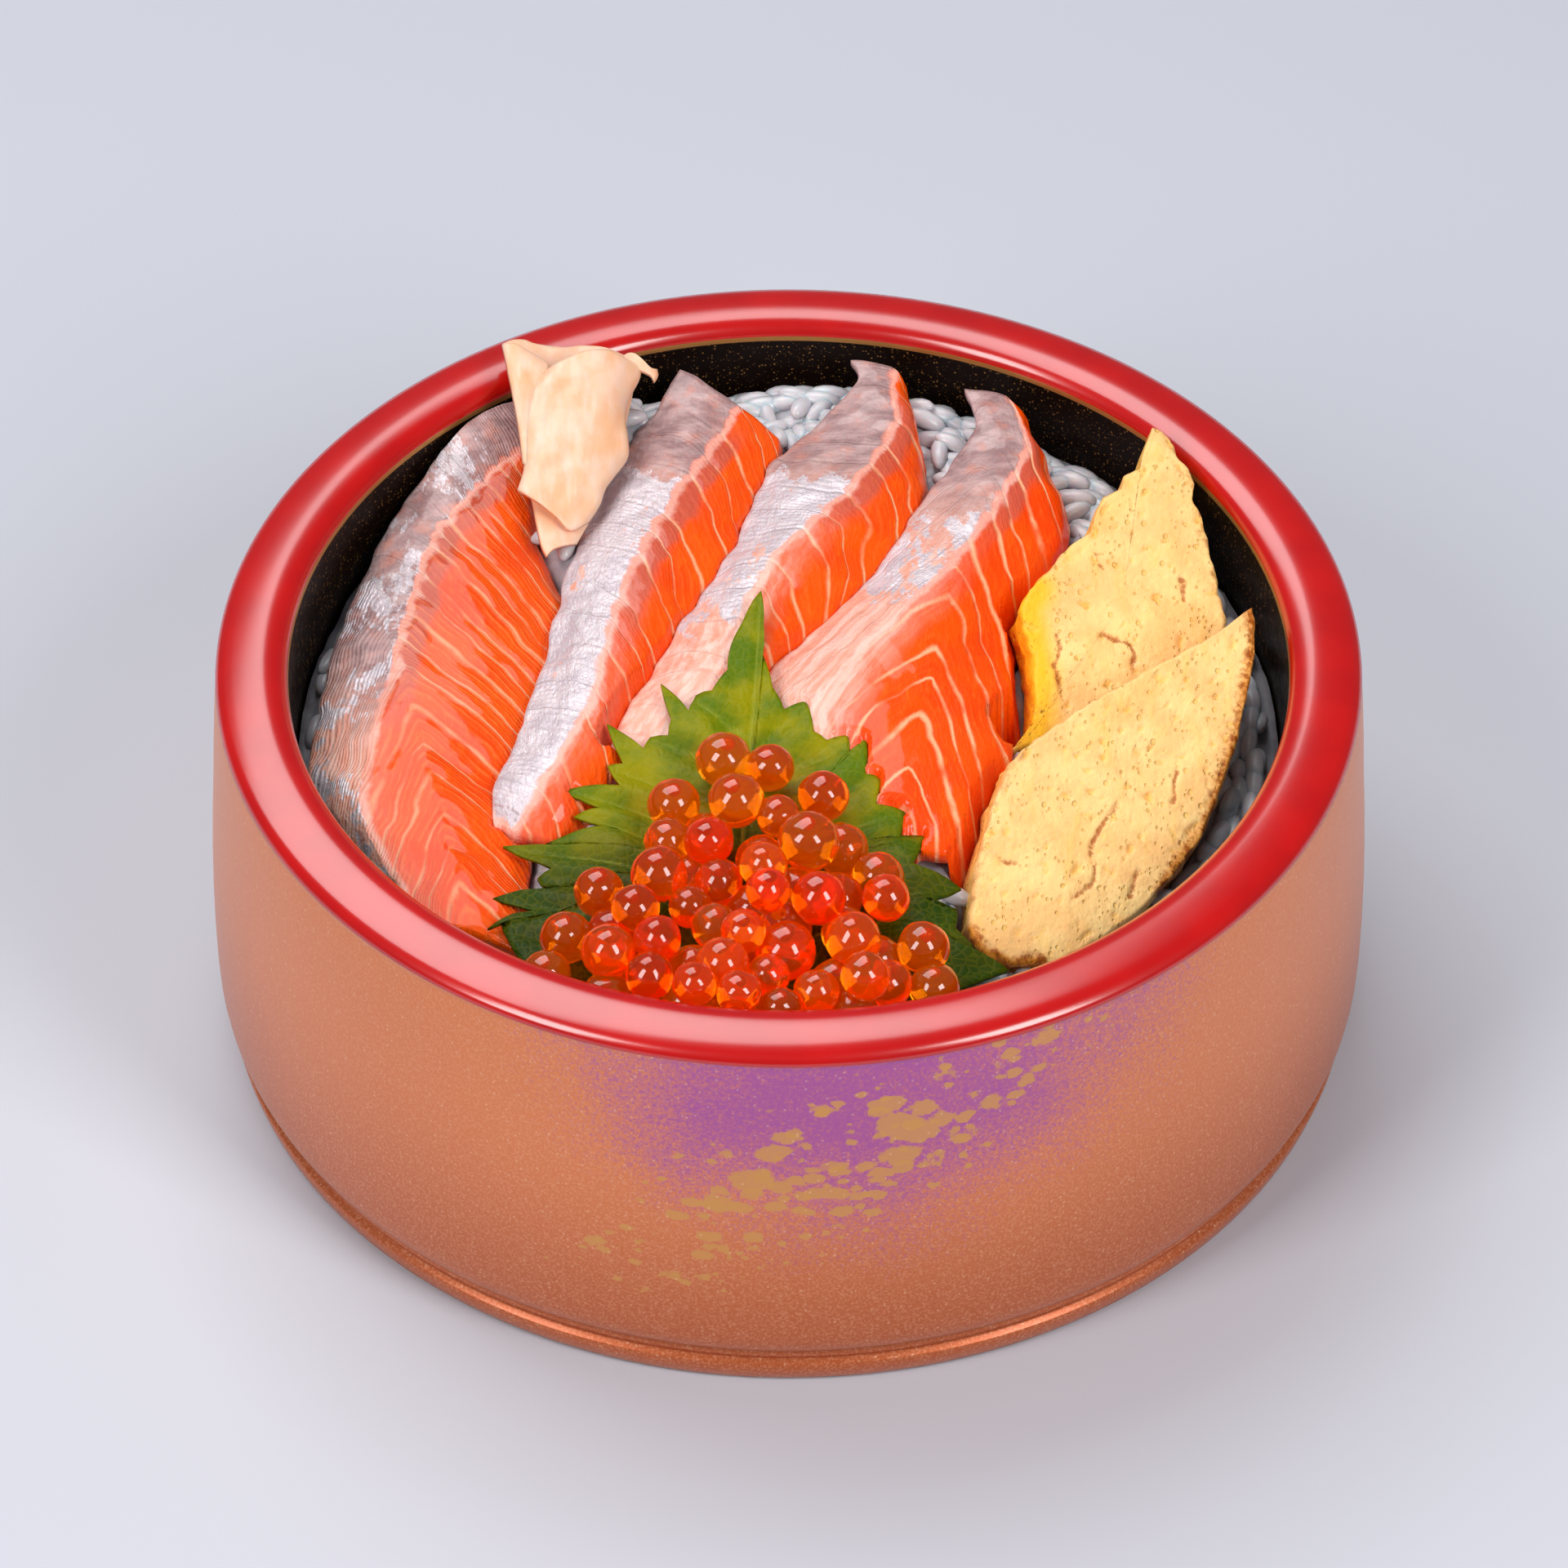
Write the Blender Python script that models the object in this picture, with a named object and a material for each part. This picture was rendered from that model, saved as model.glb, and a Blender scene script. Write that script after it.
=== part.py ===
"""Rice bowl with salmon slices, roe on a leaf, rolled omelette and pickled ginger.

All sizes are in millimetres and turned into metres when a mesh is made.
The toppings are built from the top one down: each lower piece is pressed
under the pieces that lie on it, and the rice is fitted last.
"""
import math
import random

import bmesh
import bpy
from mathutils import Matrix, Vector
from mathutils.bvhtree import BVHTree

MM = 0.001
SEGMENTS = 48

# Bowl, outside then rim then inside, as (radius, height)
FOOT_RADIUS = 77.0
BODY_RADIUS = 79.8
RIM_LINE = (77.6, 59.6)
RIM_CROWN = (72.8, 61.8)
RIM_INNER = (68.1, 60.5)
FLOOR_HEIGHT = 12.0
WALL_TOP_RADIUS = 67.9
WALL_LOW_RADIUS = 67.2
UNDERSIDE_RECESS = 1.8

# Rice
RICE_LEVEL = 45.8
RICE_SLOPE = 0.085
GRAIN_LENGTH = 6.6
GRAIN_WIDTH = 2.7
GRAIN_COUNT = 56

# Clear space kept between one piece and the next
GAP = 0.3

# Salmon: three rails for each slice, from the back of the bowl to the front.
# "skin" is the edge on the left, "ridge" parts skin from flesh, "cut" is on the right.
SALMON_THICKNESS = 5.0
SALMON_ALONG = 14
SALMON_SKIN_STEPS = 3
SALMON_FLESH_STEPS = 4
SALMON = {
    "salmon_1": {
        "skin": [(-38.3, 54.3, 59.5), (-44.7, 50.0, 59.8), (-52.6, 40.5, 54.8), (-58.6, 28.1, 50.5),
                 (-62.7, 12.9, 49.0), (-64.9, -3.3, 48.0), (-64.3, -13.3, 47.5), (-58.0, -28.0, 46.0)],
        "ridge": [(-35.6, 48.7, 57.5), (-45.1, 37.9, 55.5), (-51.0, 25.4, 54.5), (-53.8, 8.0, 53.5),
                  (-56.5, -7.9, 53.0), (-57.1, -22.9, 52.0), (-49.5, -39.0, 49.0)],
        "cut": [(-34.8, 47.8, 56.0), (-35.1, 32.2, 53.0), (-30.5, 19.7, 52.0), (-29.8, 10.2, 51.5),
                (-30.7, -0.8, 51.0), (-34.8, -17.6, 50.0), (-34.0, -45.0, 47.5)],
    },
    "salmon_2": {
        "skin": [(-15.4, 63.3, 57.5), (-18.5, 56.6, 56.0), (-24.5, 44.2, 55.0), (-29.5, 28.8, 54.5),
                 (-32.1, 14.9, 54.0), (-35.3, -3.5, 53.5), (-39.2, -16.2, 52.5), (-40.1, -23.2, 50.5)],
        "ridge": [(-7.0, 56.9, 56.0), (-15.4, 36.8, 58.0), (-21.5, 21.4, 58.0), (-24.6, 8.6, 57.5),
                  (-27.7, -6.8, 56.5), (-33.5, -19.2, 54.5), (-37.0, -25.5, 51.5)],
        "cut": [(-0.7, 50.4, 54.5), (-0.1, 39.0, 53.0), (-4.6, 25.3, 53.0), (-9.6, 12.4, 52.5),
                (-15.1, -1.9, 52.0), (-22.7, -15.4, 51.0), (-30.2, -27.1, 50.0)],
    },
    "salmon_3": {
        "skin": [(8.6, 64.3, 58.5), (9.2, 60.1, 57.5), (2.8, 51.3, 56.0), (-2.9, 44.0, 55.5),
                 (-7.4, 27.6, 55.5), (-13.5, 14.7, 55.0), (-19.0, 2.8, 54.5), (-25.0, -10.1, 52.0)],
        "ridge": [(14.4, 63.4, 57.8), (14.3, 50.7, 58.0), (9.0, 37.4, 59.0), (0.5, 25.4, 59.0),
                  (-5.1, 15.8, 58.5), (-9.5, 2.0, 57.5), (-18.3, -11.7, 53.5)],
        "cut": [(16.7, 59.9, 56.5), (19.6, 41.9, 54.0), (19.8, 31.6, 53.5), (15.1, 20.3, 53.0),
                (8.9, 10.8, 52.5), (2.7, 2.5, 52.5), (-7.3, -12.8, 51.5)],
    },
    "salmon_4": {
        "skin": [(25.1, 58.7, 58.0), (25.7, 49.5, 57.5), (19.9, 38.5, 56.5), (14.0, 26.2, 56.0),
                 (7.2, 15.0, 55.5), (1.0, 8.0, 55.0), (-3.4, -1.3, 54.5), (2.1, -21.6, 53.0)],
        "ridge": [(30.7, 57.0, 57.8), (33.1, 45.1, 58.3), (27.6, 30.8, 58.7), (19.5, 15.5, 59.5),
                  (10.5, 3.6, 59.0), (4.3, -10.0, 56.5), (10.3, -28.2, 52.5)],
        "cut": [(34.1, 53.0, 56.0), (36.2, 45.1, 54.5), (39.2, 34.5, 53.0), (35.0, 22.5, 52.5), (28.8, 12.5, 52.5),
                (28.2, 0.0, 52.5), (27.9, -9.0, 52.5), (26.7, -19.0, 52.0), (24.4, -30.0, 51.0)],
    },
}

# Omelette slabs: corners of the upper face, back corner first, then left and round to the front
OMELETTE_THICKNESS = 9.0
OMELETTE_ROUNDING = 2.6
OMELETTE_FRONT = [(63.6, 9.0, 61.5), (29.5, -15.7, 58.5), (24.3, -44.0, 47.7), (36.3, -44.4, 44.9),
                  (56.8, -28.6, 47.2)]
OMELETTE_BACK = [(51.6, 41.5, 65.5), (30.3, 12.8, 57.0), (29.6, -7.3, 48.7), (61.2, 8.5, 50.0)]

# Ginger: left and right edges of the folded sheet, from its lower tip up
GINGER_LEFT = [(-33.6, 23.9, 57.0), (-35.1, 29.4, 58.5), (-37.4, 34.9, 60.0),
               (-37.0, 42.0, 62.5), (-38.9, 51.3, 66.5), (-39.8, 54.0, 70.0)]
GINGER_RIGHT = [(-29.4, 26.2, 57.5), (-27.2, 29.4, 58.5), (-24.5, 37.1, 60.0),
                (-22.5, 43.2, 61.5), (-22.4, 49.3, 63.0), (-22.7, 57.0, 65.0)]
GINGER_HOOK = [(-24.5, 56.2, 64.2), (-21.4, 56.9, 65.0), (-19.0, 55.2, 64.8), (-18.9, 53.4, 64.0)]
GINGER_THICKNESS = 5.4

# Leaf: tooth tips as (angle from its middle in degrees, reach)
LEAF_MIDDLE = (-6.0, -30.0)
LEAF_THICKNESS = 0.45
LEAF_TIP = (86.6, 42.2)
LEAF_TEETH = [(71.6, 25.1), (50.5, 24.4), (30.5, 20.9), (13.0, 22.0), (4.3, 24.0), (345.2, 29.9), (328.0, 40.6),
              (104.5, 26.2), (112.6, 30.2), (131.2, 28.4), (144.5, 24.5), (159.2, 26.2), (178.2, 32.1),
              (193.2, 34.3), (200.6, 36.5)]
LEAF_NOTCH = 0.80
LEAF_SHOULDER = (30.9, 6.8)
LEAF_FRONT_REACH = 35.5

# Roe heap: rounded triangle in plan, apex to the back
ROE_RADIUS = (3.35, 3.8)
ROE_COUNT = 38
EGG_SPACING = 0.97
ROE_RISE = 4.8
CORE_DROP = 1.6
ROE_MIDDLE = (-6.0, -45.0)
ROE_APEX = 27.5
ROE_SIDE = 26.0
ROE_FRONT = 19.5

# Look of each piece: colour, roughness, metallic
LOOKS = {
    "bowl": ((0.55, 0.24, 0.14), 0.35, 0.4),
    "rice": ((0.72, 0.74, 0.78), 0.45, 0.0),
    "salmon": ((0.90, 0.22, 0.05), 0.30, 0.0),
    "ginger": ((0.95, 0.76, 0.55), 0.40, 0.0),
    "shiso_leaf": ((0.16, 0.27, 0.02), 0.50, 0.0),
    "roe": ((0.85, 0.12, 0.01), 0.10, 0.0),
    "tamago": ((0.95, 0.68, 0.26), 0.55, 0.0),
}
SMOOTH_ANGLE = 40.0


def clear_scene():
    for obj in list(bpy.data.objects):
        bpy.data.objects.remove(obj, do_unlink=True)
    for mesh in list(bpy.data.meshes):
        bpy.data.meshes.remove(mesh)


def new_object(name, verts, faces):
    """Make an object from points in millimetres, with its faces turned outward."""
    mesh = bpy.data.meshes.new(name)
    mesh.from_pydata([Vector(v) * MM for v in verts], [], faces)
    bm = bmesh.new()
    bm.from_mesh(mesh)
    bmesh.ops.remove_doubles(bm, verts=bm.verts, dist=1e-7)
    bmesh.ops.triangulate(bm, faces=bm.faces)
    bmesh.ops.recalc_face_normals(bm, faces=bm.faces)
    bm.to_mesh(mesh)
    bm.free()
    obj = bpy.data.objects.new(name, mesh)
    bpy.context.scene.collection.objects.link(obj)
    return obj


def tree_of(obj, grow=0.0):
    """A search tree of an object's faces, in millimetres, moved out by some clear space."""
    mesh = obj.data
    verts = [v.co / MM + v.normal * grow for v in mesh.vertices]
    faces = [tuple(p.vertices) for p in mesh.polygons]
    return BVHTree.FromPolygons(verts, faces)


def spline(points, t):
    """Point at share t of the length of a smooth curve through the points."""
    pts = [Vector(p) for p in points]
    marks = [0.0]
    for a, b in zip(pts[:-1], pts[1:]):
        marks.append(marks[-1] + (b - a).length)
    s = t * marks[-1]
    i = 0
    while i < len(pts) - 2 and s > marks[i + 1]:
        i += 1
    u = (s - marks[i]) / max(marks[i + 1] - marks[i], 1e-9)
    p1 = pts[i]
    p2 = pts[i + 1]
    p0 = pts[i - 1] if i > 0 else p1 * 2 - p2
    p3 = pts[i + 2] if i + 2 < len(pts) else p2 * 2 - p1
    return 0.5 * ((2 * p1) + (p2 - p0) * u + (2 * p0 - 5 * p1 + 4 * p2 - p3) * u * u
                  + (3 * p1 - p0 - 3 * p2 + p3) * u * u * u)


def held_inside(p, reach):
    """The same point, brought in to the given distance from the bowl's axis."""
    r = math.hypot(p.x, p.y)
    if r > reach:
        return Vector((p.x * reach / r, p.y * reach / r, p.z))
    return p


def underside(covers, x, y, reach):
    """Height kept free under the covering pieces round a spot, or None in the open."""
    low = None
    for share in (0.0, 0.5, 1.0):
        for k in range(8 if share else 1):
            a = math.pi * k / 4
            start = Vector((x + reach * share * math.cos(a), y + reach * share * math.sin(a), 0.0))
            for tree in covers:
                hit = tree.ray_cast(start, Vector((0, 0, 1)))[0]
                if hit is not None:
                    z = hit.z + 2.5 * reach * share
                    low = z if low is None else min(low, z)
    return low


def settle(verts, faces, covers, movable):
    """Lower the points of any face that still meets a covering piece."""
    for turn in range(80):
        tree = BVHTree.FromPolygons(verts, faces)
        touched = set()
        for cover in covers:
            for mine, theirs in tree.overlap(cover):
                touched.update(faces[mine])
        moves = movable(touched)
        if not moves:
            return turn
        for i in moves:
            verts[i] = verts[i] - Vector((0, 0, 0.2))
    return 80


def slab_faces(rows, cols):
    """Triangles of a closed solid between two grids of points, both split alike."""
    shift = rows * cols
    faces = []
    for i in range(rows - 1):
        for j in range(cols - 1):
            a = i * cols + j
            b = a + 1
            c = a + cols + 1
            d = a + cols
            faces += [(a, b, c), (a, c, d)]
            faces += [(a + shift, c + shift, b + shift), (a + shift, d + shift, c + shift)]
    edge = [j for j in range(cols)]
    edge += [i * cols + cols - 1 for i in range(1, rows)]
    edge += [(rows - 1) * cols + j for j in range(cols - 2, -1, -1)]
    edge += [i * cols for i in range(rows - 2, 0, -1)]
    for k, a in enumerate(edge):
        b = edge[(k + 1) % len(edge)]
        faces += [(a, a + shift, b + shift), (a, b + shift, b)]
    return faces


def lathe(name, profile, segments):
    """Turn a profile that starts and ends on the axis."""
    verts = []
    rings = []
    for r, z in profile:
        if r < 1e-6:
            rings.append([len(verts)])
            verts.append((0, 0, z))
            continue
        ring = []
        for k in range(segments):
            a = 2 * math.pi * k / segments
            ring.append(len(verts))
            verts.append((r * math.cos(a), r * math.sin(a), z))
        rings.append(ring)
    faces = []
    for lower, upper in zip(rings[:-1], rings[1:]):
        for k in range(segments):
            n = (k + 1) % segments
            if len(lower) == 1:
                faces.append((lower[0], upper[k], upper[n]))
            elif len(upper) == 1:
                faces.append((lower[k], lower[n], upper[0]))
            else:
                faces.append((lower[k], lower[n], upper[n], upper[k]))
    return new_object(name, verts, faces)


def wall_radius(z):
    """Inner radius of the bowl at a height above the rounded bottom corner."""
    share = (z - 22.0) / (59.0 - 22.0)
    return WALL_LOW_RADIUS + (WALL_TOP_RADIUS - WALL_LOW_RADIUS) * share


def make_bowl():
    outside = [(0.0, UNDERSIDE_RECESS), (71.0, UNDERSIDE_RECESS), (72.5, 0.0), (FOOT_RADIUS - 0.4, 0.0),
               (FOOT_RADIUS + 0.7, 0.8), (78.4, 3.9), (77.6, 4.6), (77.8, 6.5), (78.9, 7.6),
               (79.7, 9.5), (BODY_RADIUS, 18.0), (79.1, 38.0)]
    rim = [RIM_LINE, (76.9, 60.8), (75.2, 61.5), RIM_CROWN, (69.7, 61.5), RIM_INNER]
    inside = [(WALL_TOP_RADIUS, 59.0), (WALL_LOW_RADIUS, 22.0), (65.2, 16.0), (61.0, 12.9),
              (54.0, FLOOR_HEIGHT), (0.0, FLOOR_HEIGHT)]
    return lathe("bowl", outside + rim + inside, SEGMENTS)


def leaf_height(x, y):
    """Height of the leaf: lifted at its tip, lower at the wall, gently waved."""
    t = (y + 62.0) / 74.0
    z = 49.6 + 2.4 * t + 8.6 * max(t, 0.0) ** 2.0
    z -= 0.0016 * (x + 6.0) ** 2
    z += 0.35 * math.sin(0.33 * x + 0.1 * y)
    return z


def leaf_outline():
    """Points round the leaf in plan, teeth and notches in turn."""
    def at(angle, reach):
        a = math.radians(angle)
        return (LEAF_MIDDLE[0] + reach * math.cos(a), LEAF_MIDDLE[1] + reach * math.sin(a))

    right = [t for t in LEAF_TEETH if t[0] < 80 or t[0] > 300]
    right.sort(key=lambda t: (t[0] + 90) % 360)
    left = sorted(t for t in LEAF_TEETH if 80 < t[0] < 260)
    points = []
    for k, (angle, reach) in enumerate(right):
        points.append(at(angle, reach))
        if k + 1 < len(right):
            nxt = right[k + 1]
            middle = angle + ((nxt[0] - angle) % 360) * 0.55
            points.append(at(middle, LEAF_NOTCH * min(reach, nxt[1])))
    reach, half = LEAF_SHOULDER
    points.append(at(78.0, 21.5))
    points.append(at(LEAF_TIP[0] - half * 0.45, reach - 3.0))
    points.append(at(LEAF_TIP[0] - half * 0.30, reach + 5.0))
    points.append(at(*LEAF_TIP))
    points.append(at(LEAF_TIP[0] + half * 0.55, reach + 5.0))
    points.append(at(LEAF_TIP[0] + half, reach - 1.0))
    points.append(at(99.0, 23.5))
    for k, (angle, reach) in enumerate(left):
        points.append(at(angle, reach))
        if k + 1 < len(left):
            nxt = left[k + 1]
            points.append(at(angle + (nxt[0] - angle) * 0.45, LEAF_NOTCH * min(reach, nxt[1])))
    for angle in (212, 228, 245, 262, 279, 296, 312):
        points.append(at(angle, LEAF_FRONT_REACH))
    return points


def make_leaf():
    outline = leaf_outline()
    cx, cy = LEAF_MIDDLE
    shares = (0.28, 0.52, 0.76, 1.0)
    top = [(cx, cy, leaf_height(cx, cy))]
    for share in shares:
        for x, y in outline:
            px = cx + (x - cx) * share
            py = cy + (y - cy) * share
            top.append((px, py, leaf_height(px, py)))
    n = len(outline)
    faces = []
    for k in range(n):
        m = (k + 1) % n
        faces.append((0, 1 + k, 1 + m))
        for ring in range(len(shares) - 1):
            a = 1 + ring * n
            b = a + n
            faces += [(a + k, b + k, b + m), (a + k, b + m, a + m)]
    shift = len(top)
    faces += [tuple(i + shift for i in reversed(f)) for f in list(faces)]
    last = 1 + (len(shares) - 1) * n
    for k in range(n):
        m = (k + 1) % n
        faces += [(last + k, last + k + shift, last + m + shift), (last + k, last + m + shift, last + m)]
    verts = top + [(x, y, z - LEAF_THICKNESS) for x, y, z in top]
    return new_object("shiso_leaf", verts, faces)


def roe_reach(angle):
    """Reach of the heap's rounded triangle in a direction, from the heap's middle."""
    c = math.cos(angle)
    s = math.sin(angle)
    limits = []
    if s < -1e-6:
        limits.append(ROE_FRONT / -s)
    slope = math.atan2(ROE_APEX + 6.0, ROE_SIDE)
    for side in (1, -1):
        nx = side * math.sin(slope)
        ny = math.cos(slope)
        away = ROE_APEX * ny
        facing = c * nx + s * ny
        if facing > 1e-6:
            limits.append(away / facing)
    power = 5.0
    total = sum((1.0 / v) ** power for v in limits)
    return total ** (-1.0 / power)


def roe_level(x, y):
    """Height of the egg centres over the mound at a spot in plan."""
    dx = x - ROE_MIDDLE[0]
    dy = y - ROE_MIDDLE[1]
    share = min(math.hypot(dx, dy) / roe_reach(math.atan2(dy, dx)), 1.0)
    return leaf_height(x, y) + LEAF_THICKNESS + 4.1 + ROE_RISE * (1 - share * share)


def pack_roe(seed):
    """Scatter the eggs over the mound, push them apart, and set their heights."""
    rng = random.Random(seed)
    cx, cy = ROE_MIDDLE

    def kept_in(x, y, r):
        dx = x - cx
        dy = y - cy
        reach = roe_reach(math.atan2(dy, dx)) - r * 0.5
        d = math.hypot(dx, dy)
        if d > reach:
            x = cx + dx * reach / d
            y = cy + dy * reach / d
        r_axis = math.hypot(x, y)
        if r_axis > 66.7 - r:
            x *= (66.7 - r) / r_axis
            y *= (66.7 - r) / r_axis
        return x, y

    eggs = []
    for k in range(ROE_COUNT):
        a = rng.uniform(0, 2 * math.pi)
        d = roe_reach(a) * math.sqrt(rng.random())
        eggs.append([cx + d * math.cos(a), cy + d * math.sin(a), rng.uniform(*ROE_RADIUS)])
    for turn in range(60):
        for i, one in enumerate(eggs):
            for other in eggs[:i]:
                dx = one[0] - other[0]
                dy = one[1] - other[1]
                d = math.hypot(dx, dy) + 1e-6
                room = (one[2] + other[2]) * EGG_SPACING
                if d < room:
                    push = (room - d) * 0.5
                    one[0] += dx / d * push
                    one[1] += dy / d * push
                    other[0] -= dx / d * push
                    other[1] -= dy / d * push
        for one in eggs:
            one[0], one[1] = kept_in(*one)
    placed = []
    for x, y, r in eggs:
        inner = min(math.hypot(x - cx, y - cy) / roe_reach(math.atan2(y - cy, x - cx)), 1.0)
        lift = rng.uniform(-1.0, 1.2) * (1 - inner ** 3)
        placed.append((x, y, roe_level(x, y) + lift, r))
    return placed


def fuse(base, parts):
    """Join the parts to the base with one union, then remove them."""
    group = bpy.data.collections.new("parts")
    bpy.context.scene.collection.children.link(group)
    for part in parts:
        bpy.context.scene.collection.objects.unlink(part)
        group.objects.link(part)
    union = base.modifiers.new("union", "BOOLEAN")
    union.operation = "UNION"
    union.operand_type = "COLLECTION"
    union.collection = group
    union.solver = "MANIFOLD"
    graph = bpy.context.evaluated_depsgraph_get()
    graph.update()
    mesh = bpy.data.meshes.new_from_object(base.evaluated_get(graph))
    base.modifiers.clear()
    base.data = mesh
    for part in parts:
        bpy.data.objects.remove(part, do_unlink=True)
    bpy.data.collections.remove(group)
    bm = bmesh.new()
    bm.from_mesh(mesh)
    bmesh.ops.remove_doubles(bm, verts=bm.verts, dist=5e-6)
    bmesh.ops.dissolve_degenerate(bm, edges=bm.edges, dist=5e-6)
    bmesh.ops.triangulate(bm, faces=bm.faces)
    keep_largest(bm)
    bmesh.ops.recalc_face_normals(bm, faces=bm.faces)
    bm.to_mesh(mesh)
    bm.free()
    return base


def keep_largest(bm):
    """Drop any bit that did not reach the main body."""
    todo = set(bm.faces)
    groups = []
    while todo:
        stack = [todo.pop()]
        group = [stack[0]]
        while stack:
            face = stack.pop()
            for edge in face.edges:
                for other in edge.link_faces:
                    if other in todo:
                        todo.remove(other)
                        group.append(other)
                        stack.append(other)
        groups.append(group)
    groups.sort(key=len)
    for group in groups[:-1]:
        bmesh.ops.delete(bm, geom=group, context="FACES")
    loose = [v for v in bm.verts if not v.link_faces]
    bmesh.ops.delete(bm, geom=loose, context="VERTS")


def make_egg(centre, radius, turn):
    """One egg as a ball with few sides, turned a little so neighbours differ."""
    bm = bmesh.new()
    bmesh.ops.create_uvsphere(bm, u_segments=7, v_segments=4, radius=radius * 1.05)
    spin = Matrix.Rotation(turn, 3, "Z") @ Matrix.Rotation(turn * 0.7, 3, "X")
    verts = [tuple(spin @ v.co + Vector(centre)) for v in bm.verts]
    faces = [tuple(v.index for v in f.verts) for f in bm.faces]
    bm.free()
    return new_object("egg", verts, faces)


def make_roe():
    """Mound of eggs: a core under the top layer, with the eggs fused on."""
    eggs = pack_roe(11)
    cx, cy = ROE_MIDDLE
    count = 24
    shares = (0.35, 0.7, 1.0)
    top = [(cx, cy, roe_level(cx, cy) - CORE_DROP)]
    low = [(cx, cy, leaf_height(cx, cy) + 0.8)]
    for share in shares:
        for k in range(count):
            a = 2 * math.pi * k / count
            reach = roe_reach(a) - 2.2
            while math.hypot(cx + reach * math.cos(a), cy + reach * math.sin(a)) > 64.5:
                reach -= 0.5
            x = cx + reach * share * math.cos(a)
            y = cy + reach * share * math.sin(a)
            floor = leaf_height(x, y) + 0.8
            top.append((x, y, max(roe_level(x, y) - CORE_DROP, floor + 0.8)))
            low.append((x, y, floor))
    faces = []
    for k in range(count):
        m = (k + 1) % count
        faces.append((0, 1 + k, 1 + m))
        for ring in range(len(shares) - 1):
            a = 1 + ring * count
            b = a + count
            faces += [(a + k, b + k, b + m), (a + k, b + m, a + m)]
    shift = len(top)
    faces += [tuple(i + shift for i in reversed(f)) for f in list(faces)]
    last = 1 + (len(shares) - 1) * count
    for k in range(count):
        m = (k + 1) % count
        faces += [(last + k, last + k + shift, last + m + shift), (last + k, last + m + shift, last + m)]
    heap = new_object("roe", top + low, faces)
    balls = [make_egg(egg[:3], egg[3], 0.9 * k) for k, egg in enumerate(eggs)]
    return fuse(heap, balls)


def rounded_corners(corners, radius, steps):
    """Flat outline with its corners rounded, from corner points in space."""
    pts = [Vector(c) for c in corners]
    out = []
    n = len(pts)
    for i in range(n):
        p = pts[i]
        before = (pts[i - 1] - p).normalized()
        after = (pts[(i + 1) % n] - p).normalized()
        for k in range(steps + 1):
            t = k / steps
            a = p + before * radius * (1 - t)
            b = p + after * radius * t
            out.append(a.lerp(b, t))
    return out


def make_omelette(name, corners):
    """Slab with a gently uneven face and soft edges."""
    corner = [Vector(c) for c in corners]
    normal = (corner[1] - corner[0]).cross(corner[2] - corner[0]).normalized()
    if normal.z < 0:
        normal = -normal
    outline = rounded_corners(corners, OMELETTE_ROUNDING, 3)
    fine = []
    for a, b in zip(outline, outline[1:] + outline[:1]):
        pieces = max(1, round((b - a).length / 9.0))
        for k in range(pieces):
            fine.append(a.lerp(b, k / pieces))
    middle = sum(fine, Vector()) / len(fine)
    n = len(fine)
    layers = [(0.0, 0.55), (0.0, 0.965), (-0.7, 1.0), (-OMELETTE_THICKNESS + 0.9, 0.99),
              (-OMELETTE_THICKNESS, 0.95)]
    verts = [middle + normal * 0.15]
    for depth, share in layers:
        for k, p in enumerate(fine):
            q = middle + (p - middle) * share + normal * depth
            if share > 0.9:
                q += normal * 0.12 * math.sin(1.9 * k)
            verts.append(held_inside(q, 66.6))
    verts.append(middle - normal * OMELETTE_THICKNESS)
    faces = []
    for k in range(n):
        m = (k + 1) % n
        faces.append((0, 1 + k, 1 + m))
        for ring in range(len(layers) - 1):
            a = 1 + ring * n
            b = a + n
            faces.append((a + k, b + k, b + m, a + m))
        a = 1 + (len(layers) - 1) * n
        faces.append((a + m, a + k, len(verts) - 1))
    return new_object(name, verts, faces)


def tube(name, rings, first, last):
    """Closed skin over rings of equal count, with a point at each end."""
    count = len(rings[0])
    verts = [p for ring in rings for p in ring] + [first, last]
    faces = []
    for i in range(len(rings) - 1):
        for k in range(count):
            m = (k + 1) % count
            a = i * count
            b = a + count
            faces.append((a + k, a + m, b + m, b + k))
    end = (len(rings) - 1) * count
    for k in range(count):
        m = (k + 1) % count
        faces.append((m, k, len(rings) * count))
        faces.append((end + k, end + m, len(rings) * count + 1))
    return new_object(name, verts, faces)


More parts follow.
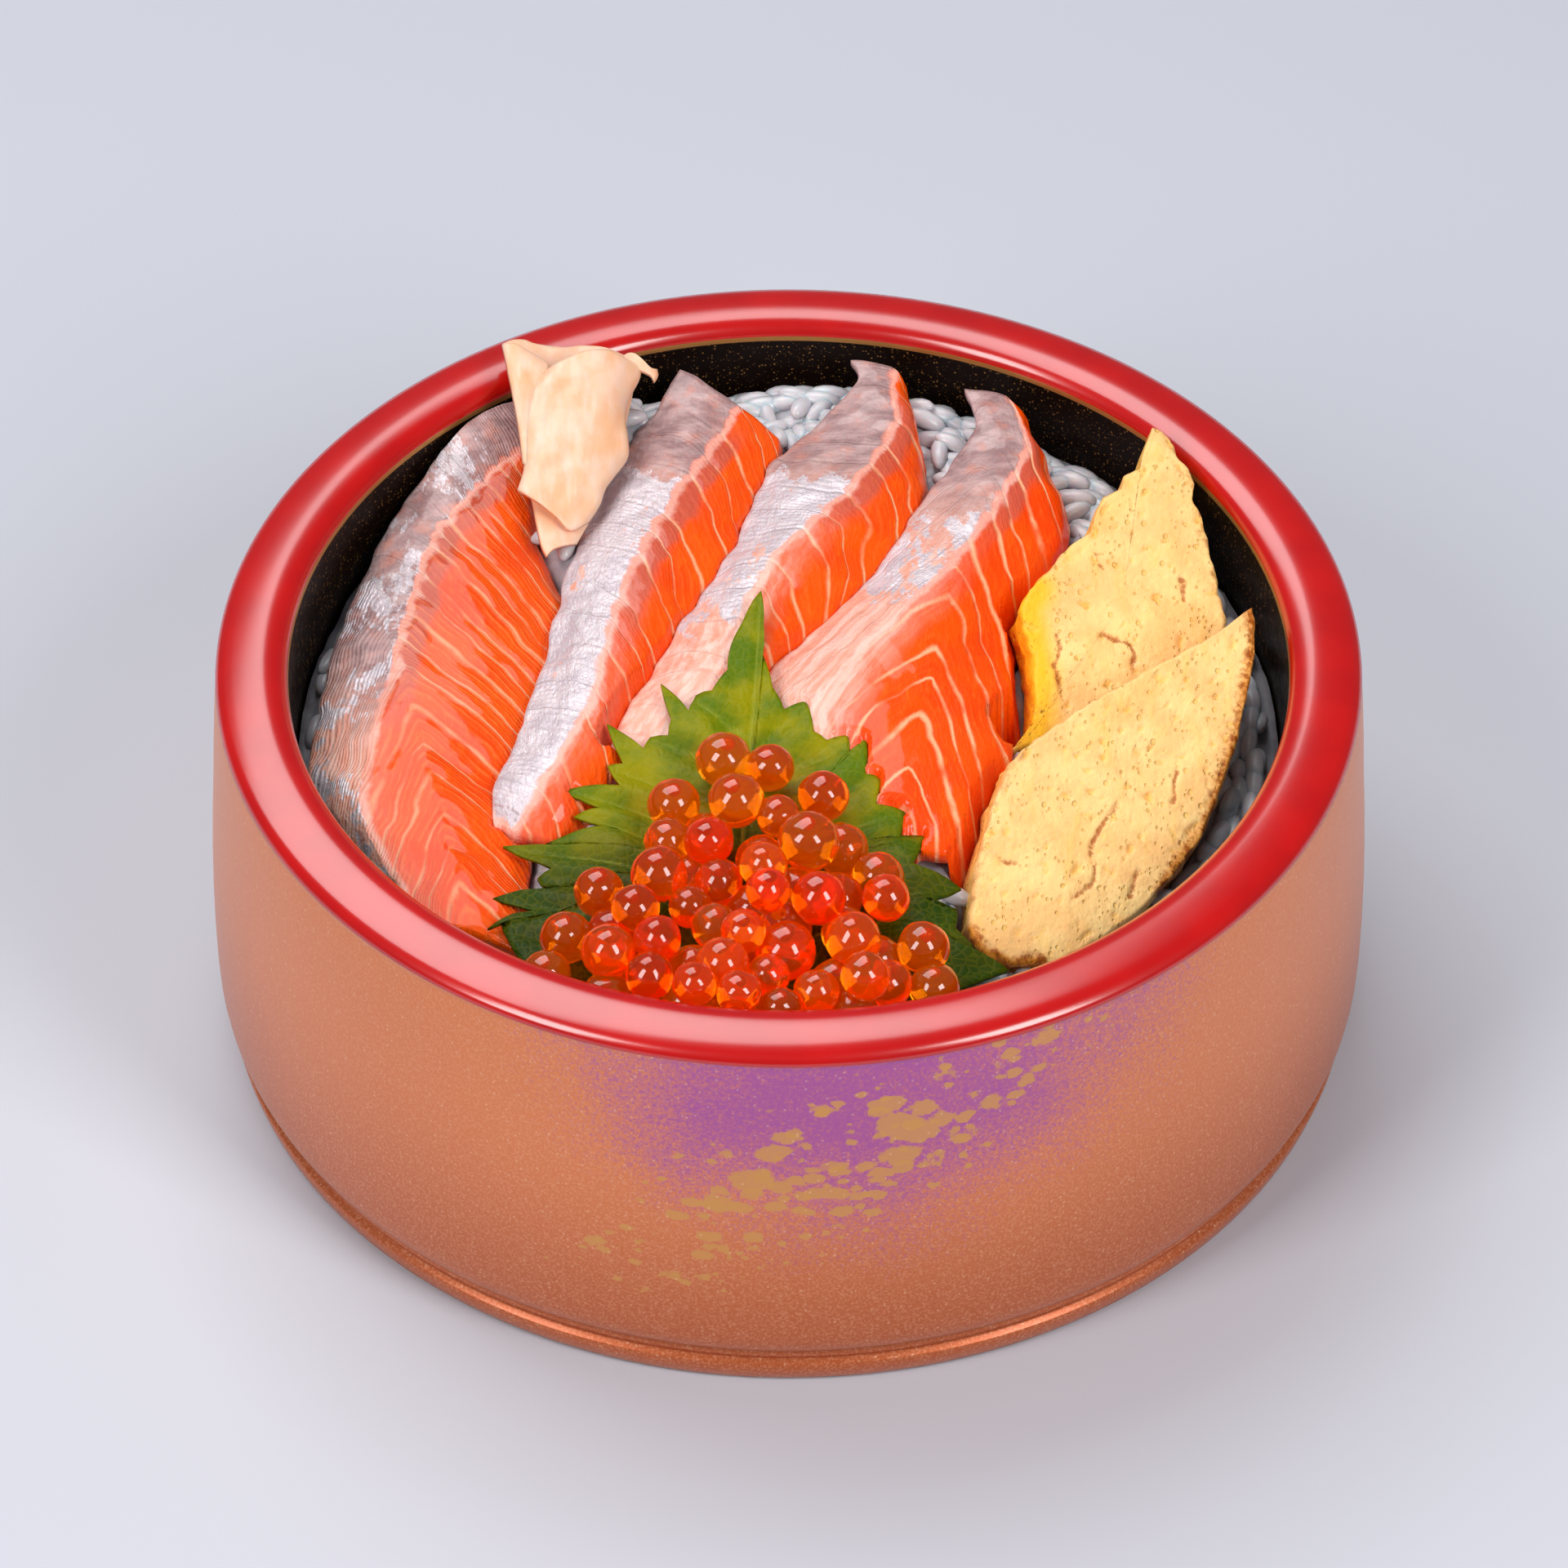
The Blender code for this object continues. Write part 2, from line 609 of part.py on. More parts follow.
def make_ginger():
    """A thin slice folded into a bundle, narrow at the bottom, with a small curl."""
    rings = []
    stations = 11
    around = 16
    for i in range(stations + 1):
        t = i / stations
        left = spline(GINGER_LEFT, t)
        right = spline(GINGER_RIGHT, t)
        middle = (left + right) / 2
        across = (right - left) / 2
        along = spline(GINGER_LEFT, min(t + 0.03, 1.0)) - spline(GINGER_LEFT, max(t - 0.03, 0.0))
        normal = across.cross(along).normalized()
        if normal.z < 0:
            normal = -normal
        thick = GINGER_THICKNESS * (0.55 + 0.75 * math.sin(math.pi * min(t * 0.75 + 0.1, 1.0)) ** 2) / 2
        ring = []
        for k in range(around):
            a = 2 * math.pi * k / around
            c = math.cos(a)
            s = math.sin(a)
            flat = math.copysign(abs(s) ** 0.8, s)
            fold = 0.5 * math.exp(-((c + 0.35) / 0.2) ** 2) * (1 if s > 0 else 0)
            lift = thick * (flat * (1 - fold * 0.35)) - thick
            ring.append(middle + across * c + normal * lift)
        rings.append(ring)
    foot = sum(rings[0], Vector()) / around
    head = sum(rings[-1], Vector()) / around
    body = tube("ginger", rings, foot, head)
    curl = []
    for i in range(6):
        t = i / 5
        p = spline(GINGER_HOOK, t)
        ahead = (spline(GINGER_HOOK, min(t + 0.05, 1)) - spline(GINGER_HOOK, max(t - 0.05, 0))).normalized()
        side = ahead.cross(Vector((0, 0, 1))).normalized()
        up = side.cross(ahead)
        size = 2.3 * (1 - t) ** 0.7 + 0.35
        curl.append([p + side * size * 0.5 * math.cos(a) + up * size * math.sin(a)
                     for a in [2 * math.pi * k / 6 for k in range(6)]])
    hook = tube("hook", curl, sum(curl[0], Vector()) / 6, sum(curl[-1], Vector()) / 6)
    return fuse(body, [hook])


def make_salmon(name, covers):
    """One slice: grids over and under its rails, pressed down under what lies on it."""
    table = SALMON[name]
    across = SALMON_SKIN_STEPS + SALMON_FLESH_STEPS
    depth_at = [0.22, 0.55, 0.85, 1.0, 1.06, 1.04, 0.92, 0.55]
    top = []
    bottom = []
    for i in range(SALMON_ALONG + 1):
        t = i / SALMON_ALONG
        skin = spline(table["skin"], t)
        ridge = spline(table["ridge"], t)
        cut = spline(table["cut"], t)
        end = min(1.0, 0.45 + 6.0 * t, 0.45 + 6.0 * (1 - t))
        for j in range(across + 1):
            if j <= SALMON_SKIN_STEPS:
                s = j / SALMON_SKIN_STEPS
                p = skin.lerp(ridge, s)
                p.z += 0.5 * math.sin(math.pi * s) * end
            else:
                s = (j - SALMON_SKIN_STEPS) / SALMON_FLESH_STEPS
                p = ridge.lerp(cut, s)
                p.z += 1.3 * math.sin(math.pi * s) * end
            p = held_inside(p, 66.6)
            lid = underside(covers, p.x, p.y, 2.0)
            if lid is not None:
                p.z = min(p.z, lid - 0.05)
            top.append(p)
            bottom.append(p - Vector((0, 0, max(SALMON_THICKNESS * depth_at[j] * end, 0.9))))
    faces = slab_faces(SALMON_ALONG + 1, across + 1)
    verts = top + bottom
    count = len(top)

    def both_sides(touched):
        nodes = {i % count for i in touched}
        return [n for n in nodes] + [n + count for n in nodes]

    turns = settle(verts, faces, covers, both_sides)
    print(name, "settled in", turns)
    return new_object(name, verts, faces)


def rice_height(x, y):
    """Open surface of the heap: higher to the back, uneven."""
    z = RICE_LEVEL + RICE_SLOPE * y
    z += 1.6 * math.exp(-((x - 10.0) ** 2 + (y - 58.0) ** 2) / 300.0)
    z += 0.5 * math.sin(0.35 * x + 1.0) * math.cos(0.31 * y)
    return z


def make_rice_core(covers):
    """Body of the heap, up against the toppings, with room for the bowl round it."""
    rings = 8
    lid = underside(covers, 0, 0, 2.0)
    verts = [Vector((0, 0, lid - 0.05 if lid is not None else rice_height(0, 0)))]
    for ring in range(1, rings + 1):
        for k in range(SEGMENTS):
            a = 2 * math.pi * k / SEGMENTS
            r = 67.0 * (ring / rings) ** 0.85
            x = r * math.cos(a)
            y = r * math.sin(a)
            z = rice_height(x, y)
            lid = underside(covers, x, y, 2.0)
            if lid is not None:
                z = min(lid - 0.05, z + 5.0)
            if ring == rings:
                r = wall_radius(z) - GAP
                x = r * math.cos(a)
                y = r * math.sin(a)
            verts.append(Vector((x, y, z)))
    top_count = len(verts)
    for r, z in ((WALL_LOW_RADIUS - GAP, 22.2), (65.2 - GAP, 16.3), (61.0 - GAP, 13.3), (54.0, 12.4)):
        for k in range(SEGMENTS):
            a = 2 * math.pi * k / SEGMENTS
            verts.append(Vector((r * math.cos(a), r * math.sin(a), z)))
    layers = rings + 4
    faces = []
    for k in range(SEGMENTS):
        m = (k + 1) % SEGMENTS
        faces.append((0, 1 + k, 1 + m))
        for ring in range(layers - 1):
            a = 1 + ring * SEGMENTS
            b = a + SEGMENTS
            faces += [(a + k, b + k, b + m), (a + k, b + m, a + m)]
        last = 1 + (layers - 1) * SEGMENTS
        faces.append((last + m, last + k, len(verts)))
    verts.append(Vector((0, 0, 12.4)))

    def top_only(touched):
        return [i for i in touched if i < top_count]

    turns = settle(verts, faces, covers, top_only)
    print("rice settled in", turns)
    return new_object("rice", verts, faces)


def grain_shape(centre, yaw, pitch, length, grow):
    """Points and faces of one rice grain with few sides."""
    turn = Matrix.Rotation(yaw, 3, "Z") @ Matrix.Rotation(pitch, 3, "Y")
    verts = []
    sides = 5
    for share, size in ((-0.36, 0.72), (0.0, 1.0), (0.36, 0.74)):
        for k in range(sides):
            a = 2 * math.pi * k / sides
            p = Vector((share * length * grow, size * grow * GRAIN_WIDTH / 2 * math.cos(a),
                        size * grow * GRAIN_WIDTH / 2 * math.sin(a)))
            verts.append(turn @ p + centre)
    verts.append(turn @ Vector((-0.5 * length * grow, 0, 0)) + centre)
    verts.append(turn @ Vector((0.5 * length * grow, 0, 0)) + centre)
    faces = []
    for ring in range(2):
        for k in range(sides):
            m = (k + 1) % sides
            a = ring * sides
            faces.append((a + k, a + m, a + sides + m, a + sides + k))
    for k in range(sides):
        m = (k + 1) % sides
        faces.append((m, k, 3 * sides))
        faces.append((2 * sides + k, 2 * sides + m, 3 * sides + 1))
    return verts, faces


def make_rice(covers):
    """Rice core with grains fused on where the heap shows."""
    core = make_rice_core(covers)
    surface = tree_of(core)
    rng = random.Random(5)
    grains = []
    placed = []
    tries = 0
    while len(grains) < GRAIN_COUNT and tries < 6000:
        tries += 1
        r = 66.0 * math.sqrt(rng.random())
        a = rng.uniform(0, 2 * math.pi)
        x = r * math.cos(a)
        y = r * math.sin(a)
        if underside(covers, x, y, 1.4) is not None:
            continue
        hit = surface.ray_cast(Vector((x, y, 90.0)), Vector((0, 0, -1)))[0]
        if hit is None:
            continue
        length = GRAIN_LENGTH * rng.uniform(0.92, 1.08)
        yaw = rng.uniform(0, math.pi)
        if r > 61:
            yaw = a + math.pi / 2 + rng.uniform(-0.25, 0.25)
        centre = Vector((x, y, hit.z + rng.uniform(0.35, 1.0)))
        if any((centre - other).length < 3.1 for other in placed):
            continue
        verts, faces = grain_shape(centre, yaw, rng.uniform(-0.25, 0.25), length, 1.12)
        if max(math.hypot(v.x, v.y) for v in verts) > 67.1:
            continue
        test = BVHTree.FromPolygons(verts, faces)
        if any(test.overlap(other) for other in covers):
            continue
        if any(underside(covers, v.x, v.y, 0.2) is not None and
               v.z > underside(covers, v.x, v.y, 0.2) - 0.3 for v in verts):
            continue
        verts, faces = grain_shape(centre, yaw, rng.uniform(-0.2, 0.2), length, 1.0)
        grains.append(new_object("grain", verts, faces))
        placed.append(centre)
    print("grains", len(grains))
    return fuse(core, grains)


def paint(obj):
    """Give a piece its own material and soft shading."""
    look = next(key for key in LOOKS if obj.name.startswith(key))
    colour, roughness, metallic = LOOKS[look]
    material = bpy.data.materials.new(obj.name)
    material.use_nodes = True
    shader = material.node_tree.nodes["Principled BSDF"]
    shader.inputs["Base Color"].default_value = (*colour, 1.0)
    shader.inputs["Roughness"].default_value = roughness
    shader.inputs["Metallic"].default_value = metallic
    obj.data.materials.clear()
    obj.data.materials.append(material)
    obj.data.shade_smooth()
    obj.data.set_sharp_from_angle(angle=math.radians(SMOOTH_ANGLE))


def main():
    clear_scene()
    make_bowl()
    covers = []
    for obj in (make_leaf(), make_roe(), make_omelette("tamago_front", OMELETTE_FRONT),
                make_omelette("tamago_back", OMELETTE_BACK), make_ginger()):
        covers.append(tree_of(obj, GAP))
    for name in ("salmon_4", "salmon_3", "salmon_2", "salmon_1"):
        covers.append(tree_of(make_salmon(name, covers), GAP))
    make_rice(covers)
    for obj in bpy.data.objects:
        paint(obj)
        print(obj.name, len(obj.data.polygons))
    print("triangles", sum(len(o.data.polygons) for o in bpy.data.objects))


main()
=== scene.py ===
import math
import random

import bmesh
import bpy
import numpy as np
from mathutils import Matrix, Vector, noise
from mathutils.bvhtree import BVHTree


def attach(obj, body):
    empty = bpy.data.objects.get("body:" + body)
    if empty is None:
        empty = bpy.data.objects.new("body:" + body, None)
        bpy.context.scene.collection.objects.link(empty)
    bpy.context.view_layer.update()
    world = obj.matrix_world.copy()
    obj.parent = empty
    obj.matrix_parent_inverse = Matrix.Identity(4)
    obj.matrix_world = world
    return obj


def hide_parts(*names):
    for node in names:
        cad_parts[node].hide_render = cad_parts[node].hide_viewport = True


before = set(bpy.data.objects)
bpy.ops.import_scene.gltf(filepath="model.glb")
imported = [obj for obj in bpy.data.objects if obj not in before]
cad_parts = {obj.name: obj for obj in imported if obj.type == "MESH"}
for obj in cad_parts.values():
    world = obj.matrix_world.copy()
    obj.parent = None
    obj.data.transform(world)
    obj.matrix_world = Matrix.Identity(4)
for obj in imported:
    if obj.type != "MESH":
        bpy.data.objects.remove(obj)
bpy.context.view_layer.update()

metresPerMm = 0.001
print("frame loaded")


# Camera and light

view = {
    "distance": 1092.75,      # from the middle of the bowl's height
    "down": 43.3,             # degrees that it looks down
    "aim": 36.45,             # height it looks at
    "frame": 1920,            # the photo's side in pixels
    "focal": 9720,            # focal length in those pixels
    "middle": (965.7, 960.0),
    "sensor": 36.0,
}


def cameraPlace():
    tilt = math.radians(view["down"])
    return Vector((0, -view["distance"] * math.cos(tilt), view["aim"] + view["distance"] * math.sin(tilt)))


def lineOfSight(px, py):
    # direction in which the camera sees a pixel of the photo
    tilt = math.radians(view["down"])
    ahead = Vector((0, math.cos(tilt), -math.sin(tilt)))
    up = Vector((0, math.sin(tilt), math.cos(tilt)))
    side = (px - view["middle"][0]) / view["focal"]
    rise = (view["middle"][1] - py) / view["focal"]
    return ahead + Vector((side, 0, 0)) + up * rise


def seenOn(px, py, height):
    # where the line of sight through a pixel meets a surface given by its height
    eye = cameraPlace()
    sight = lineOfSight(px, py)
    z = 56.0
    for turn in range(25):
        p = eye + sight * ((z - eye.z) / sight.z)
        z = float(height(p.x, p.y))
    return p


def makeCamera():
    data = bpy.data.cameras.new("camera")
    camera = bpy.data.objects.new("camera", data)
    bpy.context.scene.collection.objects.link(camera)
    camera.location = cameraPlace() * metresPerMm
    camera.rotation_euler = (math.radians(90 - view["down"]), 0, 0)
    data.sensor_width = view["sensor"]
    data.lens = view["sensor"] * view["focal"] / view["frame"]
    data.shift_x = (view["frame"] / 2 - view["middle"][0]) / view["frame"]
    data.clip_start = 0.05
    data.clip_end = 20
    bpy.context.scene.camera = camera


lights = {
    # name: (place in metres, size in metres, power in watts, colour)
    "keyLeft": ((-0.62, -0.55, 0.74), (0.34, 0.60), 6.0, (1.0, 0.985, 0.965)),
    "fillRight": ((0.58, -0.58, 0.72), (0.32, 0.58), 6.4, (1.0, 0.985, 0.965)),
    "overhead": ((-0.38, 0.68, 1.34), (1.20, 1.00), 15.6, (0.98, 0.99, 1.0)),
}
surroundings = {"colour": (0.86, 0.89, 1.0), "strength": 0.14}


def makeLights():
    for name, (place, size, power, colour) in lights.items():
        data = bpy.data.lights.new(name, "AREA")
        data.shape = "RECTANGLE"
        data.size, data.size_y = size
        data.energy = power
        data.color = colour
        lamp = bpy.data.objects.new(name, data)
        lamp.location = place
        lamp.rotation_euler = (Vector((0, 0, 0.03)) - Vector(place)).to_track_quat("-Z", "Y").to_euler()
        bpy.context.scene.collection.objects.link(lamp)
    world = bpy.data.worlds.new("surroundings")
    world.use_nodes = True
    back = world.node_tree.nodes["Background"]
    back.inputs["Color"].default_value = (*surroundings["colour"], 1)
    back.inputs["Strength"].default_value = surroundings["strength"]
    bpy.context.scene.world = world
    bpy.context.scene.view_settings.view_transform = "Standard"


makeCamera()
makeLights()
print("camera and lights in place")


# Mesh helpers

def makePiece(name, verts, faces, smooth=True, attributes=None):
    mesh = bpy.data.meshes.new(name)
    places = np.asarray(verts, dtype=float) * metresPerMm
    mesh.from_pydata(places.tolist(), [], faces)
    for key, values in (attributes or {}).items():
        layer = mesh.attributes.new(key, "FLOAT", "POINT")
        layer.data.foreach_set("value", np.asarray(values, dtype=np.float32).ravel())
    if smooth:
        mesh.shade_smooth()
    piece = bpy.data.objects.new(name, mesh)
    bpy.context.scene.collection.objects.link(piece)
    return piece


def faceOutward(piece):
    bm = bmesh.new()
    bm.from_mesh(piece.data)
    bmesh.ops.remove_doubles(bm, verts=bm.verts, dist=1e-7)
    bmesh.ops.recalc_face_normals(bm, faces=bm.faces)
    bm.to_mesh(piece.data)
    bm.free()


def finishPiece(piece, materials, node):
    # dress a piece, put it on the bowl's body and hide the solid that it stands for
    if not piece.data.materials:
        for material in materials:
            piece.data.materials.append(material)
    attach(piece, "root")
    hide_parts(node)
    print(piece.name, "has", len(piece.data.polygons), "faces")


def alongCurve(points, shares):
    # places at shares of the length of a smooth curve through the points
    pts = np.array(points, dtype=float)
    marks = np.concatenate(([0.0], np.cumsum(np.linalg.norm(np.diff(pts, axis=0), axis=1))))
    s = np.asarray(shares, dtype=float) * marks[-1]
    i = np.clip(np.searchsorted(marks, s, side="left") - 1, 0, len(pts) - 2)
    u = ((s - marks[i]) / (marks[i + 1] - marks[i]))[:, None]
    padded = np.vstack((pts[0] * 2 - pts[1], pts, pts[-1] * 2 - pts[-2]))
    p0, p1, p2, p3 = (padded[i + k] for k in range(4))
    return 0.5 * (2 * p1 + (p2 - p0) * u + (2 * p0 - 5 * p1 + 4 * p2 - p3) * u * u
                  + (3 * p1 - p0 - 3 * p2 + p3) * u ** 3)


def rough(points, size, seed=0.0):
    # smooth noise from -1 to 1 with bumps of the given size
    return np.array([noise.noise(Vector((p[0] / size + seed, p[1] / size, p[2] / size + seed)))
                     for p in np.asarray(points).reshape(-1, 3)]).reshape(np.asarray(points).shape[:-1])


def smoothStep(low, high, values):
    t = np.clip((np.asarray(values) - low) / (high - low), 0, 1)
    return t * t * (3 - 2 * t)


def slabFaces(rows, cols):
    # a closed skin over an upper and a lower grid of points
    shift = rows * cols
    faces = []
    for i in range(rows - 1):
        for j in range(cols - 1):
            a = i * cols + j
            faces.append((a, a + 1, a + cols + 1, a + cols))
            faces.append((a + shift, a + cols + shift, a + cols + 1 + shift, a + 1 + shift))
    edge = list(range(cols))
    edge += [i * cols + cols - 1 for i in range(1, rows)]
    edge += [(rows - 1) * cols + j for j in range(cols - 2, -1, -1)]
    edge += [i * cols for i in range(rows - 2, 0, -1)]
    for k, a in enumerate(edge):
        b = edge[(k + 1) % len(edge)]
        faces.append((a, a + shift, b + shift, b))
    return faces


def bothFaces(values):
    # one value for each point of a slab's upper grid, and the same for the lower
    return np.concatenate((np.ravel(values), np.ravel(values)))


# Free height under what is already laid, kept as a map over the bowl

cover = {"cell": 0.5, "reach": 70.0, "slope": 2.5, "spread": 2.0, "clear": 0.35, "open": 200.0}
coverCells = int(2 * cover["reach"] / cover["cell"]) + 1
coverMap = np.full((coverCells, coverCells), cover["open"])


def coverWith(piece):
    tree = BVHTree.FromPolygons([v.co / metresPerMm for v in piece.data.vertices],
                                [tuple(p.vertices) for p in piece.data.polygons])
    places = np.array([v.co for v in piece.data.vertices]) / metresPerMm
    first = np.clip(((places.min(0) + cover["reach"]) / cover["cell"]).astype(int), 0, coverCells - 1)
    last = np.clip(((places.max(0) + cover["reach"]) / cover["cell"]).astype(int) + 1, 0, coverCells - 1)
    hits = np.full((coverCells, coverCells), cover["open"])
    up = Vector((0, 0, 1))
    for i in range(first[0], last[0] + 1):
        x = i * cover["cell"] - cover["reach"]
        for j in range(first[1], last[1] + 1):
            hit = tree.ray_cast(Vector((x, j * cover["cell"] - cover["reach"], 0)), up)[0]
            if hit is not None:
                hits[i, j] = hit.z
    steps = int(cover["spread"] / cover["cell"])
    for di in range(-steps, steps + 1):
        for dj in range(-steps, steps + 1):
            away = math.hypot(di, dj) * cover["cell"]
            if away <= cover["spread"]:
                moved = np.roll(hits, (di, dj), axis=(0, 1)) + cover["slope"] * away
                np.minimum(coverMap, moved, out=coverMap)


def freeHeight(x, y):
    fx = np.clip((np.asarray(x) + cover["reach"]) / cover["cell"], 0, coverCells - 1.001)
    fy = np.clip((np.asarray(y) + cover["reach"]) / cover["cell"], 0, coverCells - 1.001)
    i = fx.astype(int)
    j = fy.astype(int)
    u = fx - i
    v = fy - j
    return (coverMap[i, j] * (1 - u) * (1 - v) + coverMap[i + 1, j] * u * (1 - v)
            + coverMap[i, j + 1] * (1 - u) * v + coverMap[i + 1, j + 1] * u * v) - cover["clear"]


def heldInside(points, reach):
    # bring points in to the given distance from the bowl's axis
    r = np.hypot(points[..., 0], points[..., 1])
    scale = np.where(r > reach, reach / np.maximum(r, 1e-6), 1.0)
    points[..., 0] *= scale
    points[..., 1] *= scale
    return points


# Material helpers

def colour(red, green, blue):
    # a screen colour from 0 to 255 as Blender's linear values
    return tuple((c / 255 / 12.92) if c <= 10 else ((c / 255 + 0.055) / 1.055) ** 2.4
                 for c in (red, green, blue)) + (1.0,)


def feed(tree, socket, value):
    if isinstance(value, bpy.types.NodeSocket):
        tree.links.new(value, socket)
    else:
        socket.default_value = value


def newMaterial(name, **fixed):
    material = bpy.data.materials.new(name)
    material.use_nodes = True
    shader = material.node_tree.nodes["Principled BSDF"]
    for key, value in fixed.items():
        shader.inputs[key.replace("_", " ")].default_value = value
    return material, material.node_tree, shader


def mathOf(tree, operation, a, b=0.0):
    node = tree.nodes.new("ShaderNodeMath")
    node.operation = operation
    feed(tree, node.inputs[0], a)
    feed(tree, node.inputs[1], b)
    return node.outputs[0]


def plus(tree, a, b):
    return mathOf(tree, "ADD", a, b)


def minus(tree, a, b):
    return mathOf(tree, "SUBTRACT", a, b)


def over(tree, a, b):
    return mathOf(tree, "DIVIDE", a, b)


def times(tree, *values):
    product = values[0]
    for value in values[1:]:
        product = mathOf(tree, "MULTIPLY", product, value)
    return product


def bothWays(tree, value, reach):
    # a value from 0 to 1 made to swing to both sides of 0
    return times(tree, minus(tree, value, 0.5), reach)


def blendOf(tree, share, a, b):
    node = tree.nodes.new("ShaderNodeMix")
    node.data_type = "RGBA"
    feed(tree, node.inputs["Factor"], share)
    feed(tree, node.inputs[6], a)
    feed(tree, node.inputs[7], b)
    return node.outputs[2]


def stepOf(tree, value, low, high, start=0.0, end=1.0):
    node = tree.nodes.new("ShaderNodeMapRange")
    node.interpolation_type = "SMOOTHSTEP"
    feed(tree, node.inputs["Value"], value)
    feed(tree, node.inputs["From Min"], low)
    feed(tree, node.inputs["From Max"], high)
    feed(tree, node.inputs["To Min"], start)
    feed(tree, node.inputs["To Max"], end)
    return node.outputs["Result"]


def placeOf(tree, stretch=(1, 1, 1), turn=(0, 0, 0)):
    # the piece's own coordinates in millimetres
    where = tree.nodes.new("ShaderNodeTexCoord")
    node = tree.nodes.new("ShaderNodeMapping")
    node.inputs["Scale"].default_value = [s / metresPerMm for s in stretch]
    node.inputs["Rotation"].default_value = [math.radians(a) for a in turn]
    tree.links.new(where.outputs["Object"], node.inputs["Vector"])
    return node.outputs["Vector"]


def partsOf(tree, vector):
    node = tree.nodes.new("ShaderNodeSeparateXYZ")
    tree.links.new(vector, node.inputs[0])
    return node.outputs


def perSize(tree, size):
    # texture scale for a size that is a number or comes from a socket
    return over(tree, 1.0, size) if isinstance(size, bpy.types.NodeSocket) else 1.0 / size


def noiseOf(tree, place, size, detail=2.0, roughness=0.5):
    node = tree.nodes.new("ShaderNodeTexNoise")
    feed(tree, node.inputs["Vector"], place)
    feed(tree, node.inputs["Scale"], perSize(tree, size))
    node.inputs["Detail"].default_value = detail
    node.inputs["Roughness"].default_value = roughness
    return node.outputs["Fac"]


def cellsOf(tree, place, size, feature="F1"):
    node = tree.nodes.new("ShaderNodeTexVoronoi")
    node.feature = feature
    feed(tree, node.inputs["Vector"], place)
    feed(tree, node.inputs["Scale"], perSize(tree, size))
    return node.outputs


def valueOf(tree, name):
    node = tree.nodes.new("ShaderNodeAttribute")
    node.attribute_name = name
    return node.outputs["Fac"]


def bumpOf(tree, shader, height, depth, strength=1.0):
    node = tree.nodes.new("ShaderNodeBump")
    node.inputs["Strength"].default_value = strength
    node.inputs["Distance"].default_value = depth * metresPerMm
    feed(tree, node.inputs["Height"], height)
    tree.links.new(node.outputs["Normal"], shader.inputs["Normal"])


def newGroup(name, inputs, outputs):
    tree = bpy.data.node_groups.new(name, "ShaderNodeTree")
    for key, kind, value in inputs:
        socket = tree.interface.new_socket(name=key, in_out="INPUT", socket_type=kind)
        socket.default_value = value
    for key, kind in outputs:
        tree.interface.new_socket(name=key, in_out="OUTPUT", socket_type=kind)
    return tree, tree.nodes.new("NodeGroupInput").outputs, tree.nodes.new("NodeGroupOutput").inputs


def useGroup(tree, group, **values):
    node = tree.nodes.new("ShaderNodeGroup")
    node.node_tree = group
    for key, value in values.items():
        feed(tree, node.inputs[key], value)
    return node.outputs


def makeMoistGroup():
    # uneven tone and fine wet relief, for all the food
    tree, given, out = newGroup(
        "moistSurface",
        [("Colour", "NodeSocketColor", (1, 1, 1, 1)), ("Second", "NodeSocketColor", (1, 1, 1, 1)),
         ("Patch", "NodeSocketFloat", 4.0), ("Grain", "NodeSocketFloat", 0.6),
         ("Amount", "NodeSocketFloat", 0.5)],
        [("Colour", "NodeSocketColor"), ("Height", "NodeSocketFloat"), ("Gloss", "NodeSocketFloat")])
    place = placeOf(tree)
    patch = noiseOf(tree, place, given["Patch"], 3.0)
    grain = noiseOf(tree, place, given["Grain"], 2.0)
    share = times(tree, stepOf(tree, patch, 0.35, 0.65), given["Amount"])
    tree.links.new(blendOf(tree, share, given["Colour"], given["Second"]), out["Colour"])
    tree.links.new(plus(tree, times(tree, grain, 0.6), times(tree, patch, 0.4)), out["Height"])
    tree.links.new(stepOf(tree, grain, 0.3, 0.7), out["Gloss"])
    return tree


def makeDustGroup():
    # scattered fine metal specks, for the lacquer inside and outside
    tree, given, out = newGroup(
        "metalDust",
        [("Size", "NodeSocketFloat", 0.3), ("Share", "NodeSocketFloat", 0.2)],
        [("Mask", "NodeSocketFloat")])
    cells = cellsOf(tree, placeOf(tree), given["Size"])
    pick = tree.nodes.new("ShaderNodeSeparateColor")
    tree.links.new(cells["Color"], pick.inputs["Color"])
    chosen = mathOf(tree, "LESS_THAN", pick.outputs["Red"], given["Share"])
    near = stepOf(tree, cells["Distance"], 0.15, 0.45, 1.0, 0.0)
    tree.links.new(times(tree, chosen, near), out["Mask"])
    return tree


moistSurface = makeMoistGroup()
metalDust = makeDustGroup()
print("shared material groups made")


# Bowl

